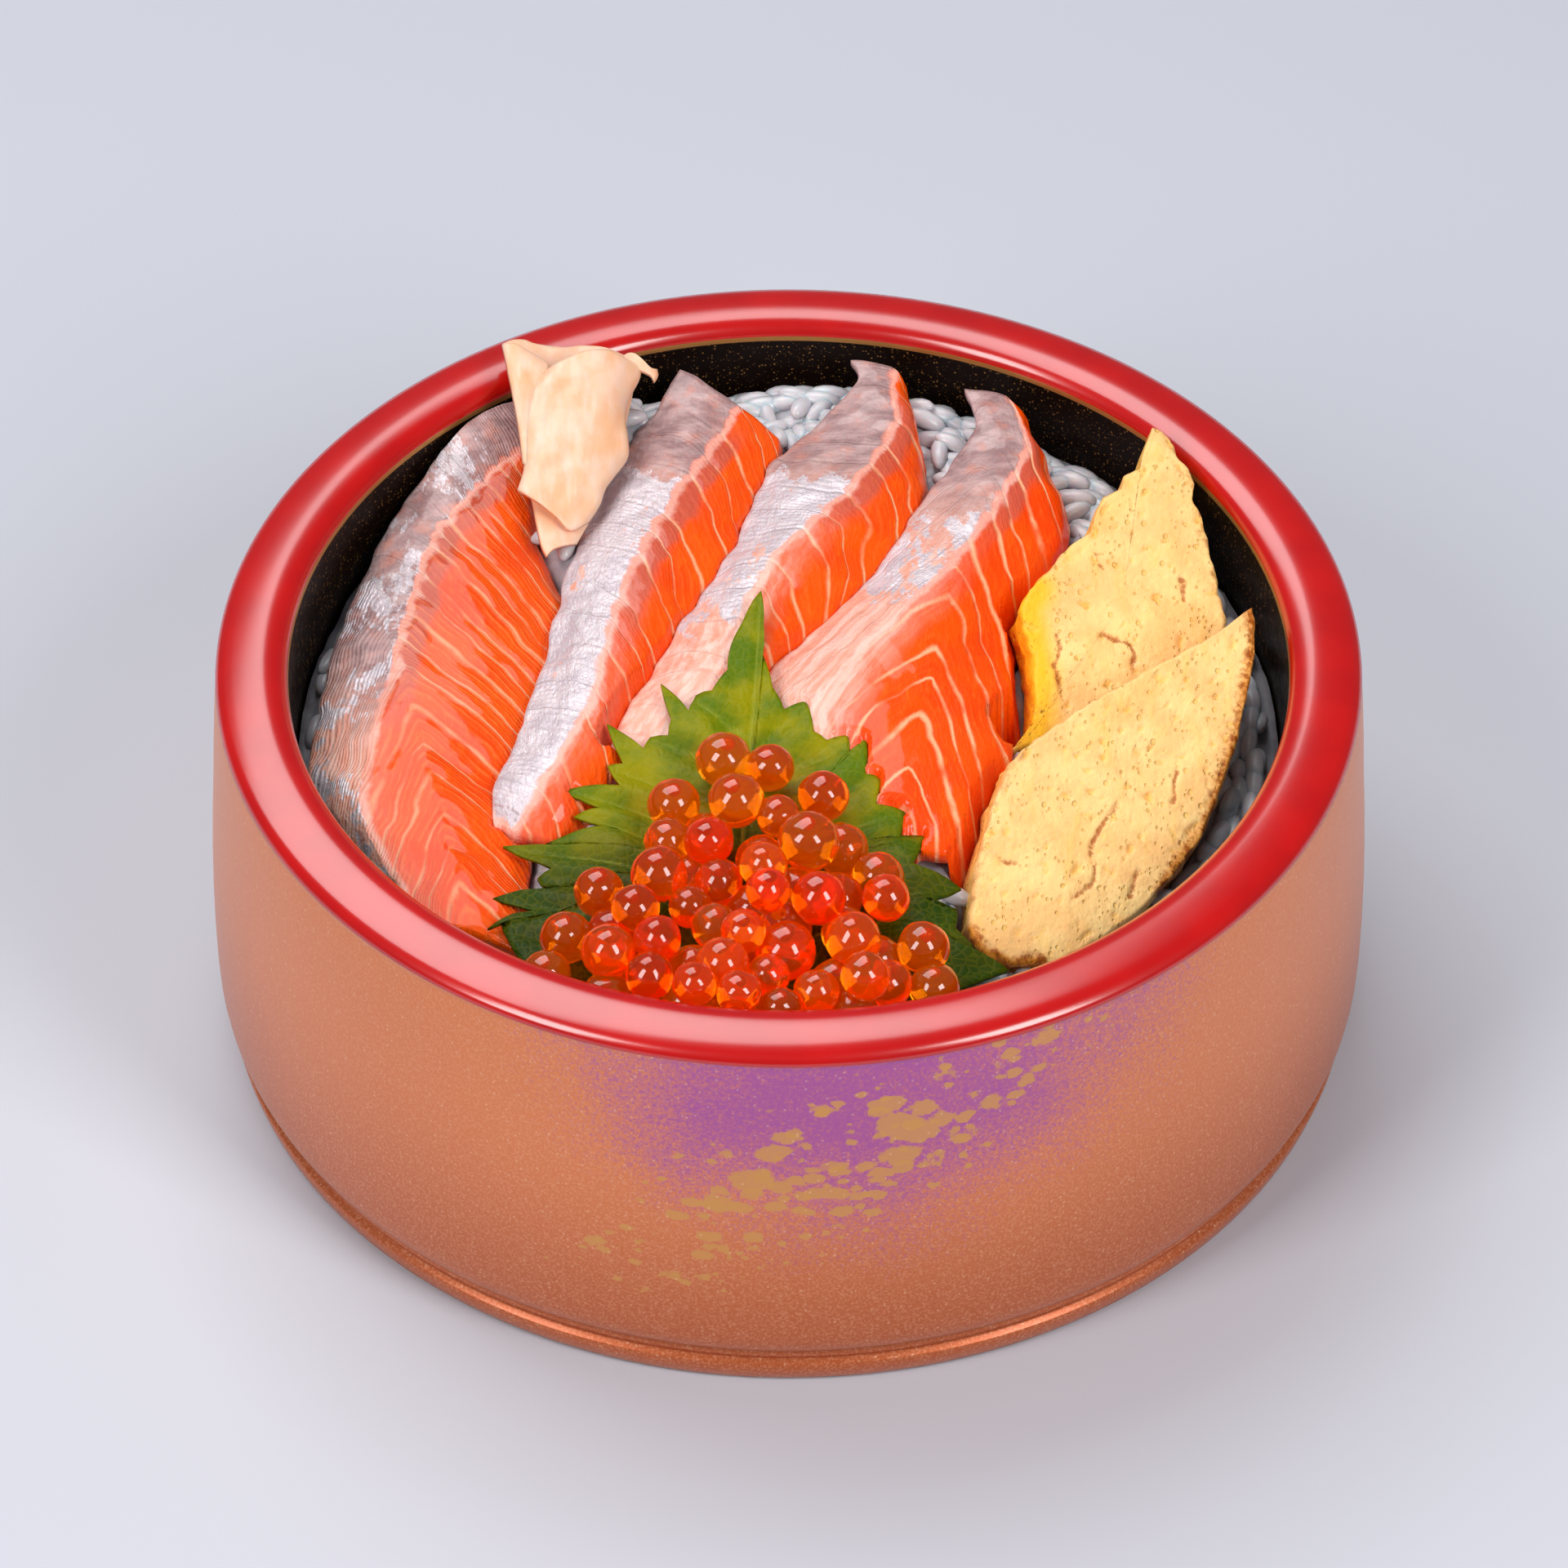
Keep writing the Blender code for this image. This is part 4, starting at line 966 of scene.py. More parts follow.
def makeRoe():
    shown = placeEggs()
    eggs = shown + fillUnder(shown)
    rng = random.Random(roe["seed"] + 1)
    base = makePiece("roePoints", [p for p, _ in eggs], [], smooth=False, attributes={
        "eggRadius": [r * metresPerMm for _, r in eggs],
        "tone": [min(max(rng.gauss(0.45, 0.35), 0), 1) for _ in eggs]})
    lean = base.data.attributes.new("lean", "FLOAT_VECTOR", "POINT")
    for item in lean.data:
        item.vector = Vector((rng.uniform(-0.25, 0.25), rng.uniform(-0.1, 0.35), 1.0)).normalized()
    tree = eggTree()
    skin, oil = makeEggSkin(), makeEggOil()
    outer = grow("roeEggs", base, tree, {
        "Segments": 28, "Rings": 18, "Uneven": roe["uneven"], "Material": skin})
    inner = grow("roeOil", base, tree, {
        "Segments": 14, "Rings": 9, "Size": roe["drop"], "Lift": roe["dropLift"],
        "Uneven": roe["oilUneven"], "Material": oil})
    bpy.data.objects.remove(base)
    return outer, inner, skin, oil


eggSkins, eggOils, skinMaterial, oilMaterial = makeRoe()
finishPiece(eggSkins, [skinMaterial], "roe")
finishPiece(eggOils, [oilMaterial], "roe")


# Omelette

omelette = {
    "thickness": 9.0, "step": 0.55, "reach": 66.6,
    "slabs": {
        # plane: three places in mm; outline: pixels of the photo, or places in mm where it is hidden
        "tamago_front": {
            "name": "omeletteFront",
            "plane": [(63.6, 9.0, 61.5), (29.5, -15.7, 58.5), (24.3, -44.0, 47.7)],
            "outline": [(1534, 742), (1538, 755), (1538, 775), (1536, 804), (1532, 836), (1524, 868),
                        (1518, 900), (1508, 932), (1498, 964), (1484, 996), (1472, 1024), (1452, 1056),
                        (1424, 1086), (47.6, -35.0, 46.8), (42.0, -40.0, 46.2), (36.3, -44.0, 45.4),
                        (1272, 1178), (1240, 1178), (1206, 1166), (1190, 1150), (1187, 1128), (1192, 1100),
                        (1195, 1060), (1205, 1028), (1214, 996), (1219, 972), (1229, 950), (1235, 932),
                        (1250, 918), (1272, 902), (1292, 887), (1320, 869), (1360, 844), (1400, 823),
                        (1448, 796), (1480, 780), (1504, 764), (1524, 748)],
            "browned": [([(1534, 742), (1538, 775), (1518, 900), (1484, 996), (1424, 1086)], 0.75),
                        ([(1272, 1180), (1240, 1182), (1200, 1166), (1187, 1140)], 1.0),
                        ([(1187, 1128), (1195, 1060), (1219, 972), (1250, 918)], 0.28)],
            "yellow": [([(1424, 820), (1330, 905)], 0.3)],
            "rolls": [[(1368, 985), (1350, 1010), (1337, 1034), (1342, 1060), (1340, 1080), (1314, 1102)],
                      [(1440, 945), (1437, 982)], [(1392, 1068), (1384, 1098)],
                      [(1222, 1045), (1248, 1062)]]},
        "tamago_back": {
            "name": "omeletteBack",
            "plane": [(51.6, 41.5, 65.5), (30.3, 12.8, 57.0), (29.6, -7.3, 48.7)],
            "outline": [(1412, 522), (1424, 526), (1436, 537), (1442, 553), (1456, 573), (1464, 590),
                        (1462, 608), (1472, 633), (1480, 656), (1484, 677), (1490, 702), (1494, 730),
                        (1503, 757), (1500, 790), (61.0, 8.0, 50.0), (45.0, 0.5, 49.4), (30.0, -7.0, 48.8),
                        (1262, 900), (1266, 865), (1266, 828), (1262, 792), (1252, 762), (1250, 745),
                        (1260, 722), (1276, 705), (1300, 677), (1320, 658), (1337, 649), (1340, 630),
                        (1352, 607), (1374, 597), (1377, 582), (1398, 569), (1399, 557), (1405, 540)],
            "browned": [([(1442, 553), (1464, 600), (1484, 677), (1503, 757)], 0.38)],
            "yellow": [([(1262, 905), (1266, 828), (1250, 745), (1262, 722)], 1.0),
                       ([(1262, 722), (1340, 640), (1399, 560)], 0.35)],
            "rolls": [[(1296, 768), (1300, 792), (1292, 812), (1298, 836), (1300, 858)],
                      [(1350, 776), (1368, 786), (1386, 790), (1388, 818)], [(1447, 708), (1450, 736)],
                      [(1338, 676), (1348, 697)]]},
    },
    "pale": colour(255, 211, 138), "cream": colour(252, 192, 120), "bright": colour(255, 190, 20),
    "brown": colour(158, 76, 12), "tan": colour(224, 140, 36), "pore": colour(248, 192, 76),
    "line": colour(172, 88, 24),
}


def flatDistance(points, lines):
    # distance in space to the nearest of some broken lines
    best = np.full(len(points), 1e3)
    for line in lines:
        for a, b in zip(line[:-1], line[1:]):
            a, b = np.array(a), np.array(b)
            t = np.clip(((points - a) @ (b - a)) / max((b - a) @ (b - a), 1e-9), 0, 1)
            best = np.minimum(best, np.linalg.norm(points - a - t[:, None] * (b - a), axis=1))
    return best


def makeOmelette(slab):
    a, b, c = (Vector(p) for p in slab["plane"])
    normal = (b - a).cross(c - a).normalized()
    if normal.z < 0:
        normal = -normal
    eye = cameraPlace()

    def onFace(spot):
        # a pixel is carried on to the slab's face, a place is moved on to it
        if len(spot) == 3:
            return Vector(spot) - normal * (Vector(spot) - a).dot(normal)
        sight = lineOfSight(*spot)
        return eye + sight * ((a - eye).dot(normal) / sight.dot(normal))

    outline = [onFace(spot) for spot in slab["outline"]]
    fine = []
    for p, q in zip(outline, outline[1:] + outline[:1]):
        pieces = max(1, round((q - p).length / omelette["step"]))
        fine += [p.lerp(q, k / pieces) for k in range(pieces)]
    edge = np.array(fine)
    middle = edge.mean(0)
    up = np.array(normal)
    n = len(edge)
    # rings over the face, round the edge, down the side and under
    face = [(0.0, s) for s in np.linspace(0.03, 0.972, 44)]
    side = [(-0.25, 0.988), (-0.7, 1.0), (-1.4, 1.003)]
    thick = omelette["thickness"]
    side += [(-d, 1.0) for d in np.linspace(2.2, thick - 1.2, 12)]
    under = [(-thick + 0.5, 0.99), (-thick, 0.96), (-thick, 0.5)]
    layers = face + side + under
    verts = [middle]
    depths = [0.0]
    for depth, share in layers:
        verts += list(middle + (edge - middle) * share + up * depth)
        depths += [depth] * n
    verts.append(middle - up * thick)
    depths.append(-thick)
    verts = np.array(verts)
    depths = np.array(depths)
    flat = verts - up * ((verts - middle) @ up)[:, None]
    # torn edges, soft waves and pits
    out = flat - middle
    out = out / np.maximum(np.linalg.norm(out, axis=1, keepdims=True), 1e-6)
    ragged = rough(verts, 1.7, 5.0) * 0.38 + rough(verts, 4.5, 1.0) * 0.30
    nearEdge = np.concatenate(([0], np.repeat([s ** 8 for _, s in layers], n), [0]))
    verts = verts + out * (ragged * nearEdge)[:, None]
    wave = rough(verts, 9.0, 2.0) * 0.35 + rough(verts, 3.0, 7.0) * 0.14 + rough(verts, 1.1, 9.0) * 0.07
    pits = np.clip(rough(verts, 1.3, 4.0) - 0.36, 0, 1) * -1.8
    onTop = np.where(depths > -0.5, 1.0, 0.0)
    verts = verts + up * ((wave + pits) * onTop)[:, None]
    verts = heldInside(verts, omelette["reach"])
    # how near each place is to the browned and the bright edges
    marks = {}
    for key, width in (("browned", 1.7), ("yellow", 4.5)):
        marks[key] = np.zeros(len(verts))
        for line, amount in slab[key]:
            away = flatDistance(flat, [[onFace(spot) for spot in line]])
            np.maximum(marks[key], amount * np.clip(1.3 - away / width, 0, 1), out=marks[key])
    lines = [[onFace(spot) for spot in roll] for roll in slab["rolls"]]
    roll = flatDistance(flat + rough(flat, 2.0, 3.0)[:, None] * 0.6, lines)
    roll = roll + np.where(depths < -1.0, 9.0, 0.0)
    verts = verts - up * (0.35 * np.exp(-(roll / 0.35) ** 2))[:, None]
    faces = []
    for k in range(n):
        m = (k + 1) % n
        faces.append((0, 1 + k, 1 + m))
        for ring in range(len(layers) - 1):
            first = 1 + ring * n
            faces.append((first + k, first + n + k, first + n + m, first + m))
        first = 1 + (len(layers) - 1) * n
        faces.append((first + m, first + k, len(verts) - 1))
    piece = makePiece(slab["name"], verts, faces, attributes={
        "brown": marks["browned"], "yellow": marks["yellow"], "roll": roll,
        "pit": -pits * onTop, "depth": -depths})
    faceOutward(piece)
    return piece


def makeOmeletteYellow():
    material, tree, shader = newMaterial("omeletteYellow", Subsurface_Weight=0.08, Subsurface_Scale=0.0012,
                                         Coat_Weight=0.08, Coat_Roughness=0.3, Specular_IOR_Level=0.3)
    skin = useGroup(tree, moistSurface, Colour=omelette["pale"], Second=omelette["cream"], Patch=5.0,
                    Grain=0.9, Amount=0.85)
    layered = noiseOf(tree, placeOf(tree, (0.5, 0.12, 0.3), (0, 0, 28)), 1.0, 3.0)
    warm = stepOf(tree, layered, 0.5, 0.8, 0.0, 0.25)
    base = blendOf(tree, warm, skin["Colour"], omelette["bright"])
    below = times(tree, stepOf(tree, valueOf(tree, "depth"), 0.3, 2.0), 0.6)
    base = blendOf(tree, below, base, omelette["pore"])
    yolk = stepOf(tree, valueOf(tree, "yellow"), 0.15, 1.0, 0.0, 0.95)
    base = blendOf(tree, yolk, base, omelette["bright"])
    # pores: many small, some larger
    chosen = stepOf(tree, noiseOf(tree, placeOf(tree), 4.0, 2.0), 0.38, 0.62)
    drawn = placeOf(tree, (1.0, 0.7, 1.0), (0, 0, 28))
    small = stepOf(tree, cellsOf(tree, drawn, 0.85)["Distance"], 0.10, 0.30, 1.0, 0.0)
    large = stepOf(tree, cellsOf(tree, drawn, 2.3)["Distance"], 0.08, 0.19, 0.9, 0.0)
    pore = mathOf(tree, "MAXIMUM", times(tree, small, chosen), large)
    base = blendOf(tree, times(tree, pore, 0.55), base, omelette["pore"])
    pit = stepOf(tree, valueOf(tree, "pit"), 0.02, 0.4, 0.0, 0.4)
    base = blendOf(tree, pit, base, omelette["pore"])
    # browned edges, and the lines where the roll closes
    streak = noiseOf(tree, placeOf(tree, (1, 1, 0.4), (0, 0, 20)), 1.2, 4.0, 0.7)
    streak = stepOf(tree, streak, 0.35, 0.65)
    drift = times(tree, streak, 0.35)
    brown = stepOf(tree, plus(tree, valueOf(tree, "brown"), drift), 0.35, 1.05)
    base = blendOf(tree, brown, base, blendOf(tree, streak, omelette["tan"], omelette["brown"]))
    rollLine = stepOf(tree, plus(tree, valueOf(tree, "roll"), drift), 0.22, 0.65, 0.85, 0.0)
    base = blendOf(tree, rollLine, base, omelette["line"])
    tree.links.new(base, shader.inputs["Base Color"])
    tree.links.new(stepOf(tree, skin["Gloss"], 0, 1, 0.42, 0.6), shader.inputs["Roughness"])
    height = minus(tree, skin["Height"], times(tree, pore, 0.6))
    height = plus(tree, height, times(tree, layered, 0.8))
    bumpOf(tree, shader, height, 0.42, 0.9)
    return material


omeletteYellow = makeOmeletteYellow()
omelettePieces = {}
for slabName in omelette["slabs"]:
    omelettePieces[slabName] = makeOmelette(omelette["slabs"][slabName])
    finishPiece(omelettePieces[slabName], [omeletteYellow], slabName)


# Ginger

ginger = {
    # the plane that the roll leans on: top left, top right, bottom
    "plane": [(-39.8, 54.0, 67.0), (-22.7, 57.0, 64.5), (-32.0, 25.0, 57.2)],
    # sheets by the photo's pixels; each has a top, a right, a bottom and a left edge,
    # its height over the plane at the edges and the height of its swell
    "sheets": {
        "back": {"top": [(615, 421), (628, 416), (643, 416), (657, 421), (690, 425), (712, 423), (740, 425),
                         (765, 435)],
                 "right": [(765, 435), (777, 465), (762, 540)],
                 "bottom": [(640, 556), (700, 566), (762, 540)],
                 "left": [(615, 421), (627, 480), (640, 556)], "over": -2.6, "swell": -0.8},
        "flap": {"top": [(615, 421), (630, 420), (645, 428)],
                 "right": [(645, 428), (660, 437), (673, 449), (668, 480), (662, 520), (660, 570)],
                 "bottom": [(640, 566), (650, 572), (660, 570)],
                 "left": [(615, 421), (621, 450), (628, 485), (635, 525), (640, 566)], "over": -0.7,
                 "swell": 0.9},
        "under": {"top": [(644, 585), (690, 590), (745, 580)],
                  "right": [(745, 580), (734, 618), (720, 642), (707, 665)],
                  "bottom": [(669, 681), (676, 673), (684, 669), (697, 666), (707, 665)],
                  "left": [(644, 585), (652, 615), (657, 642), (663, 668), (669, 681)], "over": -1.6,
                  "swell": 0.9},
        "wrap": {"top": [(671, 451), (682, 444), (695, 438), (710, 431), (730, 427), (750, 429),
                         (766, 438)],
                 "right": [(766, 438), (783, 449), (784, 462), (776, 478), (768, 494), (766, 515),
                           (769, 535), (769, 560), (751, 585), (742, 598), (735, 618), (722, 638)],
                 "bottom": [(634, 599), (645, 605), (662, 616), (682, 632), (699, 648), (722, 638)],
                 "left": [(671, 451), (654, 470), (646, 495), (642, 530), (642, 570), (634, 599)],
                 "over": -0.6, "swell": 2.6},
        "curl": {"top": [(762, 436), (770, 432), (778, 433), (788, 441), (797, 450), (805, 452)],
                 "right": [(805, 452), (806, 460), (802, 467)],
                 "bottom": [(766, 452), (778, 452), (787, 454), (797, 459), (799, 462), (802, 467)],
                 "left": [(762, 436), (764, 444), (766, 452)], "over": -0.6, "swell": 0.7},
    },
    "sheet": 0.6, "cells": 46, "curlCells": 16, "pixelsPerMm": 9.1,
    "cream": colour(255, 202, 172), "deep": colour(250, 184, 140), "pink": colour(255, 222, 206),
}


def makeGingerSheet(name):
    table = ginger["sheets"][name]
    count = ginger["curlCells"] if name == "curl" else ginger["cells"]
    a, b, c = (Vector(p) for p in ginger["plane"])
    normal = (b - a).cross(c - a).normalized()
    if normal.z < 0:
        normal = -normal
    shares = np.linspace(0, 1, count + 1)
    top, right, bottom, left = (alongCurve([(px, py, 0) for px, py in table[side]], shares)[:, :2]
                                for side in ("top", "right", "bottom", "left"))
    s = shares[None, :, None]
    t = shares[:, None, None]
    corners = (1 - t) * ((1 - s) * top[0] + s * top[-1]) + t * ((1 - s) * bottom[0] + s * bottom[-1])
    pixels = (1 - t) * top[None] + t * bottom[None] + (1 - s) * left[:, None] + s * right[:, None]
    pixels = pixels - corners
    bow = (1 - (2 * s[..., 0] - 1) ** 2) ** 0.6
    lift = table["over"] + table["swell"] * bow * (1 - 0.35 * t[..., 0])
    spots = np.dstack((pixels / ginger["pixelsPerMm"], lift[..., None] * 0))
    lift = lift + rough(spots, 6.0, len(name)) * 0.8 + rough(spots, 2.2, len(name) + 4) * 0.22
    eye = cameraPlace()
    verts = []
    for row, heights in zip(pixels, lift):
        for (px, py), height in zip(row, heights):
            sight = lineOfSight(px, py)
            verts.append(eye + sight * (((a - eye).dot(normal) + height) / sight.dot(normal)))
    verts = np.array(verts)
    low = verts - np.array(normal) * ginger["sheet"]
    return makePiece(name, np.vstack((verts, low)), slabFaces(count + 1, count + 1))


def joinPieces(name, pieces):
    bm = bmesh.new()
    for piece in pieces:
        faceOutward(piece)
        bm.from_mesh(piece.data)
    mesh = bpy.data.meshes.new(name)
    bm.to_mesh(mesh)
    bm.free()
    mesh.shade_smooth()
    for piece in pieces:
        bpy.data.objects.remove(piece)
    joined = bpy.data.objects.new(name, mesh)
    bpy.context.scene.collection.objects.link(joined)
    return joined


def makeGingerCream():
    material, tree, shader = newMaterial("gingerCream", Subsurface_Weight=0.3, Subsurface_Scale=0.002,
                                         Coat_Weight=0.2, Coat_Roughness=0.2, Specular_IOR_Level=0.3)
    skin = useGroup(tree, moistSurface, Colour=ginger["cream"], Second=ginger["deep"], Patch=6.0,
                    Grain=0.5, Amount=0.9)
    fibre = noiseOf(tree, placeOf(tree, (0.8, 0.2, 0.3), (0, 0, 12)), 1.0, 3.0)
    base = blendOf(tree, stepOf(tree, fibre, 0.4, 0.75, 0.0, 0.4), skin["Colour"], ginger["pink"])
    tree.links.new(base, shader.inputs["Base Color"])
    tree.links.new(stepOf(tree, skin["Gloss"], 0, 1, 0.34, 0.5), shader.inputs["Roughness"])
    bumpOf(tree, shader, plus(tree, fibre, skin["Height"]), 0.09, 0.6)
    return material


gingerPiece = joinPieces("gingerSlice", [makeGingerSheet(name) for name in ginger["sheets"]])
finishPiece(gingerPiece, [makeGingerCream()], "ginger")


# Salmon

salmon = {
    "thickness": 5.0, "reach": 66.6, "rows": 150, "skinCols": 20, "fleshCols": 44,
    "depthAt": [0.22, 0.55, 0.85, 1.0, 1.06, 1.04, 0.92, 0.55],
    "slices": {
        "salmon_1": {
            "skin": [(-38.3, 54.3, 59.5), (-44.7, 50.0, 59.8), (-52.6, 40.5, 54.8), (-58.6, 28.1, 50.5),
                     (-62.7, 12.9, 49.0), (-64.9, -3.3, 48.0), (-64.3, -13.3, 47.5), (-58.0, -28.0, 46.0)],
            "ridge": [(-35.6, 48.7, 57.5), (-45.1, 37.9, 55.5), (-51.0, 25.4, 54.5), (-53.8, 8.0, 53.5),
                      (-56.5, -7.9, 53.0), (-57.1, -22.9, 52.0), (-49.5, -39.0, 49.0)],
            "cut": [(-34.8, 47.8, 56.0), (-35.1, 32.2, 53.0), (-30.5, 19.7, 52.0), (-29.8, 10.2, 51.5),
                    (-30.7, -0.8, 51.0), (-34.8, -17.6, 50.0), (-34.0, -45.0, 47.5)],
            # bent muscle lines: a point on the line of their apexes, its direction, the arms' slopes
            "apex": (-51.8, -0.8), "axis": (7.7, -33.0), "arms": (2.1, 1.35), "bend": 0.035,
            "spacing": 7.0, "line": 0.080, "fine": 0.8, "contrast": 0.62,
            "grey": 0.62, "silver": (0.04, 0.97, 0.46), "pale": 0.12, "blobs": 0.60, "light": 0.12},
        "salmon_2": {
            "skin": [(-15.4, 63.3, 57.5), (-18.5, 56.6, 56.0), (-24.5, 44.2, 55.0), (-29.5, 28.8, 54.5),
                     (-32.1, 14.9, 54.0), (-35.3, -3.5, 53.5), (-39.2, -16.2, 52.5), (-40.1, -23.2, 50.5)],
            "ridge": [(-7.0, 56.9, 56.0), (-15.4, 36.8, 58.0), (-21.5, 21.4, 58.0), (-24.6, 8.6, 57.5),
                      (-27.7, -6.8, 56.5), (-33.5, -19.2, 54.5), (-37.0, -25.5, 51.5)],
            "cut": [(-0.7, 50.4, 54.5), (-0.1, 39.0, 53.0), (-4.6, 25.3, 53.0), (-9.6, 12.4, 52.5),
                    (-15.1, -1.9, 52.0), (-22.7, -15.4, 51.0), (-30.2, -27.1, 50.0)],
            "apex": None, "arms": (0, 0.80), "bend": 0.02,
            "spacing": 6.3, "line": 0.085, "fine": 0.35, "contrast": 0.75,
            "grey": 0.26, "silver": (0.20, 0.99, 0.74), "pale": 0.30, "blobs": 0.58, "light": 0.1},
        "salmon_3": {
            "skin": [(8.6, 64.3, 58.5), (9.2, 60.1, 57.5), (2.8, 51.3, 56.0), (-2.9, 44.0, 55.5),
                     (-7.4, 27.6, 55.5), (-13.5, 14.7, 55.0), (-19.0, 2.8, 54.5), (-25.0, -10.1, 52.0)],
            "ridge": [(14.4, 63.4, 57.8), (14.3, 50.7, 58.0), (9.0, 37.4, 59.0), (0.5, 25.4, 59.0),
                      (-5.1, 15.8, 58.5), (-9.5, 2.0, 57.5), (-18.3, -11.7, 53.5)],
            "cut": [(16.7, 59.9, 56.5), (19.6, 41.9, 54.0), (19.8, 31.6, 53.5), (15.1, 20.3, 53.0),
                    (8.9, 10.8, 52.5), (2.7, 2.5, 52.5), (-7.3, -12.8, 51.5)],
            "apex": None, "arms": (0, 0.30), "bend": 0.07,
            "spacing": 5.9, "line": 0.10, "fine": 0.25, "contrast": 0.85,
            "grey": 0.34, "silver": (0.28, 0.72, 0.66), "pale": 0.95, "blobs": 0.44, "light": 0.15},
        "salmon_4": {
            "skin": [(25.1, 58.7, 58.0), (25.7, 49.5, 57.5), (19.9, 38.5, 56.5), (14.0, 26.2, 56.0),
                     (7.2, 15.0, 55.5), (1.0, 8.0, 55.0), (-3.4, -1.3, 54.5), (2.1, -21.6, 53.0)],
            "ridge": [(30.7, 57.0, 57.8), (33.1, 45.1, 58.3), (27.6, 30.8, 58.7), (19.5, 15.5, 59.5),
                      (10.5, 3.6, 59.0), (4.3, -10.0, 56.5), (10.3, -28.2, 52.5)],
            "cut": [(34.1, 53.0, 56.0), (36.2, 45.1, 54.5), (39.2, 34.5, 53.0), (35.0, 22.5, 52.5),
                    (31.2, 12.5, 52.5), (31.6, 0.0, 52.5), (30.4, -9.0, 52.5), (28.2, -19.0, 52.0),
                    (24.4, -30.0, 51.0)],
            "apex": (22.3, 14.4), "axis": (-7.0, -38.0), "arms": (1.55, 2.2), "bend": 0.0,
            "spacing": 7.4, "line": 0.085, "fine": 0.2, "contrast": 0.95,
            "grey": 0.30, "silver": (0.25, 0.56, 0.55), "pale": 1.0, "blobs": 0.34, "light": 0.05},
    },
    "flesh": colour(252, 80, 0), "fleshLight": colour(255, 122, 26), "fleshDeep": colour(240, 48, 0),
    "thinLine": colour(255, 142, 66), "flush": colour(224, 142, 120),
    "fat": colour(255, 182, 136), "pinkFat": colour(250, 200, 184), "pinkDeep": colour(244, 166, 142),
    "muscle": colour(192, 88, 70),
    "greySkin": colour(200, 166, 164), "greyDark": colour(158, 124, 124),
    "silverSkin": colour(236, 222, 226), "silverDark": colour(214, 200, 206),
}


